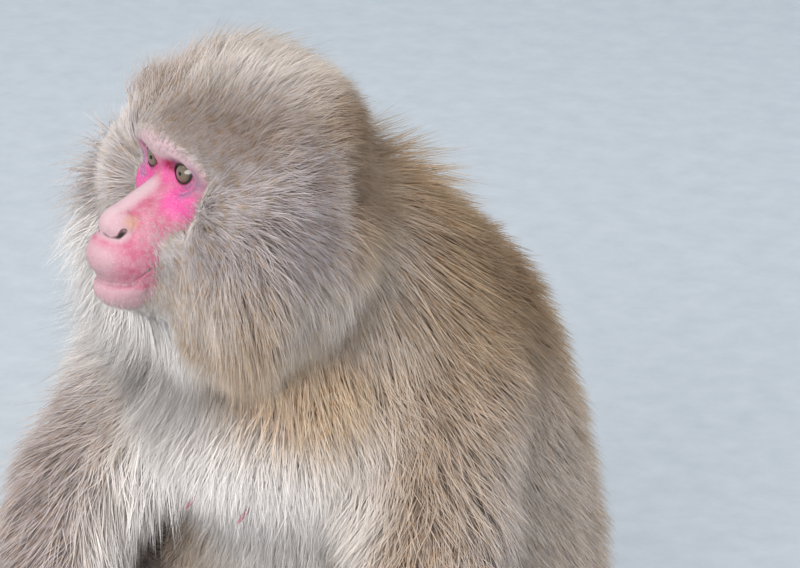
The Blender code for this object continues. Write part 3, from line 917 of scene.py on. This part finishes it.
def makeEye(side, material):
    ahead = forward * math.cos(eyePlan["gazeAside"]) - leftward * math.sin(eyePlan["gazeAside"])
    gaze = Vector(ahead * math.cos(eyePlan["gazeUp"]) + up * math.sin(eyePlan["gazeUp"]))
    centre = eyeCentre[side] + np.array(eyeForm["seat"]) * mm @ headAxes
    eye = addBall(64, 48, eyeRadius * mm, centre, gaze)
    eye.name = eye.data.name = "eyeball" + side.capitalize()
    offset = placesOf(eye) - centre
    gaze = np.array(gaze)
    along = offset @ gaze / mm
    across = offset - np.outer(along, gaze) * mm
    away = lengths(across) / mm
    rise = eyePlan["corneaRise"] * (1 - eased(away, 0, eyePlan["corneaRadius"])) * (along > 0)
    setPlaces(eye, centre + offset + np.outer(rise, gaze) * mm)
    sideways = unit(np.cross(up, gaze))
    angle = np.arctan2(across @ np.cross(gaze, sideways), across @ sideways)
    addAttribute(eye, "gazeDistance", np.where(along > 0, away, 2 * eyeRadius))
    spokes = 7.0
    addAttribute(eye, "irisPlace", np.c_[np.cos(angle) * spokes, np.sin(angle) * spokes, away * 0.35])
    eye.data.materials.append(material)
    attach(eye, "root")
    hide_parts("eye_" + side)


# Camera, floor and light

cameraPlan = {
    "azimuth": math.radians(28),
    "elevation": math.radians(20),
    "distance": 3.0,
    "viewWidth": 0.457,  # at the eyes
    "eyesLeftOfCentre": 0.1329,
    "eyesAboveCentre": 0.0666,
}


def makeCamera():
    plan = cameraPlan
    azimuth, elevation = plan["azimuth"], plan["elevation"]
    right = Vector((math.cos(azimuth), math.sin(azimuth), 0))
    back = Vector((
        math.sin(azimuth) * math.cos(elevation),
        -math.cos(azimuth) * math.cos(elevation),
        math.sin(elevation),
    ))
    above = back.cross(right)
    target = Vector(headOrigin) + right * plan["eyesLeftOfCentre"] - above * plan["eyesAboveCentre"]
    camera = bpy.data.objects.new("camera", bpy.data.cameras.new("camera"))
    link(camera)
    camera.location = target + back * plan["distance"]
    camera.rotation_euler = back.to_track_quat("Z", "Y").to_euler()
    camera.data.sensor_width = 36
    camera.data.lens = 36 * plan["distance"] / plan["viewWidth"]
    camera.data.clip_end = 60
    bpy.context.scene.camera = camera
    return right, above, back, target


def makeFloor():
    deselectAll()
    bpy.ops.mesh.primitive_plane_add(size=30, location=(0, 0, 0))
    floor = bpy.context.object
    floor.name = floor.data.name = "studioFloor"
    made, tree, surface = startMaterial("paleFloorPaint", Roughness=0.85)
    patches = mixColours(tree, noise(tree, 25 * mm, 6, 0.65), shade("#A4ABB2"), shade("#BFC4C9"))
    depth = addNode(tree, "SeparateXYZ", {}, {0: addNode(tree, "TexCoord", output="Object")}, "Y")
    patches = mixColours(tree, ramp(tree, depth, -0.6, 1.4, 1, 0), patches, shade("#DDDCDB"), "MULTIPLY")
    tree.links.new(patches, surface.inputs["Base Color"])
    floor.data.materials.append(made)


def addLight(name, place, target, size, power, colour):
    light = bpy.data.objects.new(name, bpy.data.lights.new(name, "AREA"))
    link(light)
    light.location = place
    light.rotation_euler = (Vector(place) - Vector(target)).to_track_quat("Z", "Y").to_euler()
    light.data.shape = "DISK"
    light.data.size = size
    light.data.energy = power
    light.data.color = linear(colour)


lightPlan = {  # metres right of, above and before the target, then size, power and colour
    "skyPanel": (-1.1, 1.9, 0.7, 2.2, 42, "#FFFBF4"),
    "sidePanel": (2.0, 0.5, 1.4, 2.0, 26, "#F6F8FF"),
    "frontPanel": (-0.4, -0.3, 2.4, 1.6, 11, "#FFFFFF"),
}


def makeLight(right, above, back, target):
    world = bpy.data.worlds.new("softSky")
    bpy.context.scene.world = world
    world.use_nodes = True
    sky = world.node_tree.nodes["Background"]
    sky.inputs["Color"].default_value = shade("#E4ECF4")
    sky.inputs["Strength"].default_value = 0.95
    for name, (aside, over, near, size, power, colour) in lightPlan.items():
        addLight(name, target + right * aside + above * over + back * near, target, size, power, colour)
    addLight("lowPanel", Vector((0.35, -3.5, 1.25)), Vector((0.02, -0.1, 0.26)), 2.2, 112, "#FFFAF4")


right, above, back, target = makeCamera()
makeFloor()
makeLight(right, above, back, target)
bpy.context.scene.view_settings.view_transform = "Standard"


# Nails: small curved plates, one shape copied to each digit and set into the skin above its tip

pawPlan = {  # where each paw starts and where its digits end, from the CAD source, in metres
    "HandLeft": ((0.078, -0.173, 0.104), (0.086, -0.233, 0.032)),
    "HandRight": ((-0.086, -0.193, 0.102), (-0.094, -0.251, 0.032)),
    "FootLeft": ((0.096, -0.133, 0.0), (0.106, -0.259, 0.0)),
    "FootRight": ((-0.098, -0.141, 0.0), (-0.108, -0.267, 0.0)),
}
digitPlan = {
    "Hand": {"reaches": (1.00, 1.06, 1.03, 0.94), "spread": 14.0, "tipHeight": -7.0, "thumb": (48, -32, -8)},
    "Foot": {"reaches": (0.97, 1.03, 1.00, 0.92), "spread": 15.1, "tipHeight": 4.5, "thumb": (66, -40, 5.5)},
}
nailPlan = {"length": 8.5, "width": 6.6, "thickness": 2.4, "back": 3.5, "colour": "#3E3431"}


# Smooth horn over the quick: dark, with a dull shine
def nailMaterial():
    made, tree, surface = startMaterial("nailHorn", Roughness=0.38)
    grain = noise(tree, 3 * mm, 3)
    colour = mixColours(tree, grain, shade(nailPlan["colour"]), shade("#5B4C47"))
    tree.links.new(colour, surface.inputs["Base Color"])
    return made


def digitTips(paw):
    start, end = np.array(pawPlan[paw])
    plan = digitPlan[paw[:4]]
    length = np.linalg.norm(end - start)
    ahead = unit(end - start)
    hand = -1 if paw.endswith("Left") else 1
    across = unit(np.cross(ahead, (0, 0, hand)))
    above = np.cross(ahead, across)
    above = above if above[2] > 0 else -above
    tips = [(ahead, start + ahead * length * reach + across * (digit - 1.5) * plan["spread"] * mm
             + above * plan["tipHeight"] * mm) for digit, reach in enumerate(plan["reaches"])]
    along, beside, height = np.array(plan["thumb"]) * mm
    thumb = unit(ahead * along + across * beside * 0.6)
    tips.append((thumb, start + ahead * along + across * beside + above * height))
    return tips, above


def makeNails(paw, skinTree, material):
    tips, above = digitTips(paw)
    plates = []
    for ahead, tip in tips:
        start = tip - ahead * nailPlan["back"] * mm + above * 14 * mm
        place, normal, _, _ = skinTree.ray_cast(start.tolist(), (-above).tolist(), 0.03)
        if place is None:
            continue
        along = Vector(ahead) - normal * normal.dot(Vector(ahead))
        side = normal.cross(along.normalized())
        plate = addBall(16, 10, 0.5 * mm)
        axes = np.array([along.normalized(), side, normal])
        sizes = (nailPlan["length"], nailPlan["width"], nailPlan["thickness"])
        setPlaces(plate, (placesOf(plate) * sizes) @ axes + np.array(place))
        plates.append(plate)
    nails = joined("nails" + paw, plates)
    nails.data.materials.append(material)
    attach(nails, "root")


# Two slim teats, from the skin of the breast out through its coat

teatPlan = {"middle": -16 * mm, "aside": 19 * mm, "height": 0.243, "radius": 1.6 * mm,
            "beyond": 2.0 * mm, "sag": 13 * mm}


def makeTeats(skinTree, material):
    made = []
    for sign in sides.values():
        start = Vector((teatPlan["middle"] + sign * teatPlan["aside"], -0.4, teatPlan["height"]))
        root = skinTree.ray_cast(start, (0, 1, 0))[0]
        tip = envelope.ray_cast(start, (0, 1, 0))[0]
        tip = tip - Vector((0, teatPlan["beyond"], teatPlan["sag"]))
        longer = (tip - root).length / 2 / teatPlan["radius"]
        made.append(addBall(20, 24, teatPlan["radius"], (root + tip) / 2, tip - root, longer))
    teats = joined("teats", made)
    teats.data.materials.append(material)
    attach(teats, "root")


# Thin bare skin, flushed
def teatMaterial():
    made, tree, surface = startMaterial("teatSkin", Roughness=0.5)
    colour = mixColours(tree, noise(tree, 2 * mm, 3), shade("#A86470"), shade("#B98890"))
    tree.links.new(colour, surface.inputs["Base Color"])
    return made


# The guide: a lighter copy of the skin that says how the coat lies, how deep and long it is

guidePlan = {
    "share": 0.2,  # of the skin's faces
    "lieBlend": 8,
    "rootSink": 0.8 * mm,
    "loft": (0.55, 0.45),  # beside the face, and what is added away from it
    "farLoft": 0.8,
    "nape": ((0.03, 0.07, 0.40), (0.11, 0.09, 0.07)),  # where the coat is shorter and flatter
    "napeShorter": 0.38,
    "napeFlatter": 0.25,
    "brushed": 0.65,  # how far the coat's normals are the outline's, not the skin's
    "loftier": [  # share, centre and half sizes of where it stands out: breast and throat
        (0.35, (0.01, -0.08, 0.24), (0.08, 0.09, 0.09)),
        (0.40, (-0.01, -0.09, 0.33), (0.10, 0.10, 0.07)),
    ],
}


# The way the hair lies on the head: out from the face, back over the crown, down the cheeks and nape
def headLie(head):
    x, y, z = head.T
    outward = unit(np.c_[np.zeros(len(head)), y, z + 22])
    nape = 1 - eased(x, -125, -55)
    low = 1 - eased(z, -60, 12)
    lie = outward * (0.85 * eased(x, -85, -25))[:, None]
    lie[:, 0] -= 0.75 - 0.35 * low
    lie[:, 2] -= 0.12 + 0.75 * low + 0.9 * nape
    return lie @ headAxes


# Short sparse hairs on the bare face: how many and how long, thickest where the fur begins
def faceDown(head, bare):
    near = folded(head)
    x, _, z = near.T
    edge = np.exp(-np.maximum(-bare, 0) / 5) * eased(-bare, -3, 0)
    brow = eased(z, 5, 10) * eased(x, -30, -10)
    lips = eased(x, 22, 36) * eased(-z, 38, 46) * 0.22
    chin = eased(-z, 62, 70) * 0.6
    clear = eased(lidOpening(eyePlace(near)), 2.5, 6)
    clear *= eased(limbField(near, [(4, 0, -4), (38, 0, -28), (36, 8, -30)], 7, 9), 0, 3)
    cover = np.maximum.reduce([edge, 0.5 * brow, lips, chin, np.full(len(x), 0.03)])
    length = 3.2 + 4.5 * edge + 1.5 * chin
    return cover * clear * (bare < 6) * (lengths(head) < 120), length * mm


def makeGuide(skin):
    guide = skin.copy()
    guide.data = skin.data.copy()
    link(guide)
    applyModifier(guide, "DECIMATE", ratio=guidePlan["share"])
    bpy.ops.object.mode_set(mode="EDIT")
    bpy.ops.mesh.select_all(action="SELECT")
    bpy.ops.uv.smart_project(angle_limit=math.radians(66), island_margin=0.002)
    bpy.ops.object.mode_set(mode="OBJECT")
    places, normals = placesOf(guide), normalsOf(guide)
    pairs = read(guide.data.edges, "vertices", 2, np.int32)
    fields = coatFields(guide, surfaces)
    head = toHead(places)
    bare, skull = bareField(head), fromSkull(head)
    onHead = (1 - eased(skull, 95, 125))[:, None]
    onRuff = 1 - eased(skull, 105, 135)
    lie = unit(fields[:, 2:]) * (1 - onHead) + headLie(head) * onHead
    outer = np.array([tuple(envelope.find_nearest(place)[1]) for place in places.tolist()])
    normals = unit(spread(normals + guidePlan["brushed"] * (outer - normals), pairs, 3))
    for _ in range(2):
        lie -= normals * np.sum(normals * lie, axis=1, keepdims=True)
        lie = spread(unit(lie), pairs, guidePlan["lieBlend"])
    lie = unit(lie - normals * np.sum(normals * lie, axis=1, keepdims=True))
    nape = patch(places, *guidePlan["nape"])
    least, more = guidePlan["loft"]
    loft = least + more * eased(bare, 4, 26) - guidePlan["napeFlatter"] * nape
    loft += guidePlan["farLoft"] * onRuff * eased(-head[:, 1], 10, 36)
    for share, centre, radii in guidePlan["loftier"]:
        loft += share * patch(places, centre, radii)
    made = {
        "places": places,
        "normals": normals,
        "lie": lie,
        "depth": spread(coatDepth(places), pairs, 3),
        "length": fields[:, 1] * mm * (1 - guidePlan["napeShorter"] * nape),
        "marks": np.c_[coatMarks(places)],
        "loft": loft,
        "hang": onRuff * eased(-head[:, 2], 25, 75),
        "triangles": trianglesOf(guide),
    }
    thin = np.sqrt(0.04 / np.maximum(made["length"], 0.008))
    made["coatCover"] = eased(bare, -1.5, 2.5) * (1 + 5 * (1 - eased(bare, 4, 28))) * thin
    made["downCover"], made["downLength"] = faceDown(head, bare)
    onPaw = (1 - eased(made["depth"], 3 * mm, 8 * mm)) * (bare > 60)
    made["coatCover"] *= 1 + onPaw * (3.5 * eased(normals[:, 2], -0.35, 0.1) - 0.8)
    corners = read(guide.data.loop_triangles, "loops", 3, np.int32)
    made["unwrap"] = read(guide.data.uv_layers.active.uv, "vector", 2)[corners]
    made["owners"] = np.array([stemOf(surfaces[1][surfaces[0].find_nearest(point)[2]])
                               for point in places[made["triangles"]].mean(axis=1).tolist()])
    made["finder"] = finderOf(places)
    bpy.data.objects.remove(guide)
    return made


# The coat: solid tapering locks of hair, rooted in the skin, lying along it and gathered into tufts

# For each piece: curved and straight locks, their width in mm, and how many make a tuft
coatPieces = {
    "coatCrown": {"curved": 8600, "straight": 23800, "width": 0.46, "tuft": 7},
    "coatRuffLeft": {"curved": 10400, "straight": 20900, "width": 0.50, "tuft": 8},
    "coatRuffRight": {"curved": 10000, "straight": 19000, "width": 0.50, "tuft": 8},
    "coatBreast": {"curved": 10400, "straight": 16200, "width": 0.80, "tuft": 12},
    "coatBack": {"curved": 11400, "straight": 15700, "width": 0.85, "tuft": 12},
    "coatRump": {"curved": 5700, "straight": 8600, "width": 1.05, "tuft": 12},
    "coatArmLeft": {"curved": 8100, "straight": 15200, "width": 0.76, "tuft": 11},
    "coatArmRight": {"curved": 6600, "straight": 13300, "width": 0.76, "tuft": 11},
    "coatLegLeft": {"curved": 4300, "straight": 9500, "width": 0.95, "tuft": 12},
    "coatLegRight": {"curved": 4300, "straight": 9500, "width": 0.95, "tuft": 12},
    "faceDown": {"curved": 0, "straight": 7600, "width": 0.26, "tuft": 4, "down": True},
}
lockForm = {
    "flatness": 0.55,  # thickness over width
    "widths": (0.75, 1.25),  # against the piece's own
    "lengths": (0.75, 1.15),
    "tuftLengths": (0.88, 1.12),
    "middle": 0.48,  # where a curved lock bends, from root to tip
    "middleWidth": 0.85,
    "middleHeight": 0.62,
    "height": (0.62, 1.15),  # of the coat's depth that the tips reach
    "tuftHeights": (0.88, 1.04),
    "wispHeights": (0.85, 1.12),
    "stray": math.radians(9),  # off the lie of the coat, for a lock and for a whole tuft
    "tuftStray": math.radians(13),
    "gather": (0.35, 0.75),  # how far tips lean to their tuft's leader
    "straighten": 0.45,  # how far the bend is drawn back to the line from root to tip
    "cling": 0.55,  # how far a lock bends back to skin that curves away from it
    "wisps": (0.14, 0.45, 1.12),  # their share, and their width and length against other locks
    "patch": 0.003,  # of the OFBake map, for each lock
    "lowest": 0.2 * mm,  # clear of the floor
    "vary": 0.16,  # how far locks and tufts differ in tone
    "soften": 0.55,  # how far the shading follows the coat as a whole
}
trunk = ("neck", "chest", "belly")


def pieceOf(guide):
    owners = guide["owners"]
    centres = guide["places"][guide["triangles"]].mean(axis=1)
    head = toHead(centres)
    pieces = np.full(len(owners), "none", dtype="U16")
    pieces[np.isin(owners, trunk)] = "coatBack"
    facing = guide["normals"][guide["triangles"]].mean(axis=1)[:, 1]
    pieces[np.isin(owners, trunk) & (facing < 0.05)] = "coatBreast"
    pieces[np.isin(owners, ("rump", "tail"))] = "coatRump"
    for side, sign in sides.items():
        here = centres[:, 0] * sign > 0
        pieces[np.isin(owners, ("upper_arm", "forearm", "hand")) & here] = "coatArm" + side.capitalize()
        pieces[np.isin(owners, ("thigh", "shin", "foot")) & here] = "coatLeg" + side.capitalize()
        pieces[np.isin(owners, ("head", "muzzle", "jaw", "ear", "eye")) & (head[:, 1] * sign > 0)] = (
            "coatRuff" + side.capitalize())
    pieces[np.isin(owners, ("head", "ear")) & (head[:, 2] > 2)] = "coatCrown"
    return pieces


# Nearest point of the guide: its place, normal and lie
def onGuide(guide, points):
    found = np.array([guide["finder"].find(point)[1] for point in points.tolist()])
    return guide["places"][found], guide["normals"][found], guide["lie"][found]


def turned(lie, normals, angles):
    side = np.cross(normals, lie)
    return lie * np.cos(angles)[:, None] + side * np.sin(angles)[:, None]


def lockPaths(guide, chosen, plan, rng):
    count = plan["curved"] + plan["straight"]
    triangles = guide["triangles"][chosen]
    corners = guide["places"][triangles]
    area = lengths(np.cross(corners[:, 1] - corners[:, 0], corners[:, 2] - corners[:, 0]))
    isDown = plan.get("down", False)
    area *= guide["downCover" if isDown else "coatCover"][triangles].mean(axis=1)
    picks = rng.choice(len(chosen), count, p=area / area.sum())
    share = rng.dirichlet((1, 1, 1), count)

    def at(name):
        return np.einsum("nk,nk...->n...", share, guide[name][triangles[picks]])

    normals, lie = unit(at("normals")), unit(at("lie"))
    roots = at("places")
    depth, length, marks, hang = at("depth"), at("length"), at("marks"), at("hang")[:, None]
    if isDown:
        length, hang = at("downLength"), 0 * hang
    unwrap = np.einsum("nk,nkj->nj", share, guide["unwrap"][chosen[picks]])

    # tufts: each lock leans towards its nearest leader
    leaders = rng.choice(count, max(count // plan["tuft"], 1), replace=False)
    tuftFinder = finderOf(roots[leaders])
    tuft = np.array([tuftFinder.find(place)[1] for place in roots.tolist()])
    leader = leaders[tuft]

    stray = rng.normal(0, lockForm["stray"], count) + rng.normal(0, lockForm["tuftStray"], len(leaders))[tuft]
    lie = turned(lie, normals, stray)
    length = length * rng.uniform(*lockForm["lengths"], count)
    length = length * rng.uniform(*lockForm["tuftLengths"], len(leaders))[tuft]
    low, high = lockForm["height"]
    height = 0.3 * length if isDown else np.maximum(depth, 1.0 * mm) * at("loft")
    height = height * rng.uniform(low, high, count)
    height *= rng.uniform(*lockForm["tuftHeights"], len(leaders))[tuft]
    wispShare, wispWidth, wispLength = lockForm["wisps"]
    wisp = rng.random(count) < wispShare
    height[wisp] *= rng.uniform(*lockForm["wispHeights"], wisp.sum())
    length[wisp] *= wispLength
    height = np.minimum(height, length * 0.93)
    reach = np.sqrt(np.maximum(length**2 - height**2, 0))
    isCurved = np.zeros(count, bool)
    isCurved[rng.permutation(count)[: plan["curved"]]] = True

    share = lockForm["middle"]
    ground, groundNormal, groundLie = onGuide(guide, roots + lie * (reach * share)[:, None])
    middleHeight = height * lockForm["middleHeight"]
    middle = roots + lie * (reach * share)[:, None] + normals * middleHeight[:, None]
    lift = middleHeight - np.sum((middle - ground) * groundNormal, axis=1)
    middle += groundNormal * lift[:, None]
    onward = turned(groundLie, groundNormal, stray) * (1 - hang) + 0.6 * lie
    onward = unit(onward + hang * (0.25 * normals - 1.1 * up))
    tip = middle + onward * (reach * (1 - share))[:, None]
    ground, groundNormal, _ = onGuide(guide, tip)
    lift = height - np.sum((tip - ground) * groundNormal, axis=1)
    lift = np.where(lift < 0, lockForm["cling"] * lift * (1 - hang[:, 0]), lift)
    tip += groundNormal * lift[:, None]

    gather = rng.uniform(*lockForm["gather"], count)[:, None]
    gap = np.linalg.norm(tip[leader] - tip, axis=1, keepdims=True)
    gather = gather * (1 - eased(gap, 8 * mm, 16 * mm)) * ~wisp[:, None]
    tip += gather * (tip[leader] - tip)
    middle += 0.35 * gather * (middle[leader] - middle)
    middle += lockForm["straighten"] * (0.5 * (roots + tip) - middle)
    return {
        "roots": roots - normals * guidePlan["rootSink"] * (0.4 if isDown else 1.0),
        "middle": middle,
        "tip": tip,
        "normals": normals,
        "lie": lie,
        "curved": isCurved,
        "width": plan["width"] * mm * rng.uniform(*lockForm["widths"], count) * np.where(wisp, wispWidth, 1.0)
        * np.sqrt(np.clip(length / 0.03, 0.3, 1.2)),
        "marks": marks if isDown else np.c_[coatMarks(0.5 * (middle + tip) - normals * 4 * mm)],
        "vary": np.clip(
            0.5 + lockForm["vary"] * (rng.normal(size=count) + rng.normal(size=len(leaders))[tuft]), 0, 1),
        "unwrap": unwrap,
    }


# Three-sided spikes: curved ones with a middle ring, straight ones without
def buildLocks(name, paths, material):
    side = unit(np.cross(paths["normals"], paths["lie"]))
    parts = {True: (("roots", 0.0, 1.0), ("middle", lockForm["middle"], lockForm["middleWidth"])),
             False: (("roots", 0.0, 1.0),)}
    corners, along, beside, owner, faces, loops = [], [], [], [], [], []
    base = 0
    ring = [(-0.5, 0.0), (0.5, 0.0), (0.0, 1.0)]
    for curved, stations in parts.items():
        which = np.flatnonzero(paths["curved"] == curved)
        points = []
        for key, place, widthShare in stations:
            for across, above in ring:
                width = paths["width"][which] * widthShare
                offset = side[which] * (across * width)[:, None]
                offset += paths["normals"][which] * (above * lockForm["flatness"] * width)[:, None]
                points.append(paths[key][which] + offset)
                along.append(np.full(len(which), place))
                beside.append(np.full(len(which), 0.5 + across))
        points.append(paths["tip"][which])
        along.append(np.ones(len(which)))
        beside.append(np.full(len(which), 0.5))
        perLock = len(points)
        grid = base + np.arange(perLock)[None, :] * len(which) + np.arange(len(which))[:, None]
        corners += points
        rings = len(stations)
        local = [(2, 1, 0)]
        for step in range(rings - 1):
            low, high = 3 * step, 3 * step + 3
            local += [(low + a, low + (a + 1) % 3, high + (a + 1) % 3, high + a) for a in range(3)]
        last = 3 * (rings - 1)
        local += [(last + a, last + (a + 1) % 3, perLock - 1) for a in range(3)]
        for face in local:
            faces.append(np.full(len(which), len(face)))
            loops.append(grid[:, list(face)])
        owner += [which] * perLock
        base += perLock * len(which)
    corners, along, beside, owner = map(np.concatenate, (corners, along, beside, owner))
    corners[:, 2] = np.maximum(corners[:, 2], lockForm["lowest"])
    sizes = np.concatenate(faces)
    indices = np.concatenate([part.ravel() for part in loops])
    mesh = bpy.data.meshes.new(name)
    mesh.vertices.add(len(corners))
    mesh.vertices.foreach_set("co", corners.astype(np.float32).ravel())
    mesh.loops.add(len(indices))
    mesh.loops.foreach_set("vertex_index", indices.astype(np.int32))
    mesh.polygons.add(len(sizes))
    mesh.polygons.foreach_set("loop_start", np.r_[0, np.cumsum(sizes)[:-1]].astype(np.int32))
    mesh.update(calc_edges=True)
    obj = bpy.data.objects.new(name, mesh)
    link(obj)

    uv = paths["unwrap"][owner] + lockForm["patch"] * (np.c_[beside, along] - 0.5)
    layer = mesh.uv_layers.new(name="OFBake")
    layer.uv.foreach_set("vector", np.clip(uv, 0, 1)[indices].astype(np.float32).ravel())
    addAttribute(obj, "along", along)
    addAttribute(obj, "vary", paths["vary"][owner])
    addAttribute(obj, "coatMarks", paths["marks"][owner, :3])
    addAttribute(obj, "coatShadow", paths["marks"][owner, 3])
    activate(obj)
    bpy.ops.object.shade_smooth()
    soft = lockForm["soften"]
    shading = unit(normalsOf(obj) * (1 - soft) + paths["normals"][owner] * soft)
    mesh.normals_split_custom_set_from_vertices(shading.tolist())
    mesh.materials.append(material)
    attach(obj, "root")
    return obj


# Winter guard hair over dense underfur: matt, dark at the root and pale at the tip
def coatMaterial():
    made, tree, surface = startMaterial("winterCoat", Roughness=0.68, IOR=1.55)
    surface.inputs["Specular IOR Level"].default_value = 0.22
    along, vary = attribute(tree, "along"), attribute(tree, "vary")
    marks, shadow = attribute(tree, "coatMarks", "Vector"), attribute(tree, "coatShadow")
    roots, middles, tips = [coatColour(tree, marks, shadow, level) for level in ("root", "middle", "tip")]
    colour = mixColours(tree, ramp(tree, along, 0.05, 0.55), roots, middles)
    colour = mixColours(tree, ramp(tree, along, 0.45, 1.0), colour, tips)
    patches = noise(tree, 20 * mm, 2)
    colour = mixColours(tree, ramp(tree, patches, 0.42, 0.72, 0, 0.35), colour, roots)
    separate = addNode(tree, "SeparateXYZ", {}, {0: marks}, "X")
    flecks = ramp(tree, noise(tree, 5 * mm, 1), 0.48, 0.68, 0, 0.8)
    flecks = reckon(tree, "MULTIPLY", flecks, ramp(tree, separate, 0, 0.8, 1, 0.1))
    colour = mixColours(tree, flecks, colour, shade("#F3E3CC"), "MULTIPLY")
    tone = addNode(tree, "CombineXYZ", {}, {
        axis: ramp(tree, vary, 0, 1, 0.76, 1.14) for axis in range(3)})
    colour = mixColours(tree, 1.0, colour, tone, "MULTIPLY")
    tree.links.new(colour, surface.inputs["Base Color"])
    return made


def growCoat(guide):
    material = coatMaterial()
    pieces = pieceOf(guide)
    for number, (name, plan) in enumerate(coatPieces.items()):
        rng = np.random.default_rng(100 + number)
        chosen = np.flatnonzero(pieces == name)
        if plan.get("down"):
            chosen = np.flatnonzero(guide["downCover"][guide["triangles"]].mean(axis=1) > 0)
        coat = buildLocks(name, lockPaths(guide, chosen, plan, rng), material)
        report(f"{name}: {len(coat.data.polygons)} faces")


guide = makeGuide(skin)
report(f"guide made: {len(guide['places'])} points")
thinCover(skin)
paintSkin(skin)
skin.data.materials.clear()
skin.data.materials.append(skinMaterial())
activate(skin)
bpy.ops.object.shade_smooth()
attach(skin, "root")
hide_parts(*flesh)
report(f"skin finished: {len(trianglesOf(skin))} triangles")

eyeFinish = eyeMaterial()
for side in sides:
    makeEye(side, eyeFinish)
report("eyes made")
skinTree = treeOf(skin)
horn = nailMaterial()
for paw in pawPlan:
    makeNails(paw, skinTree, horn)
report("nails made")
makeTeats(skinTree, teatMaterial())
growCoat(guide)
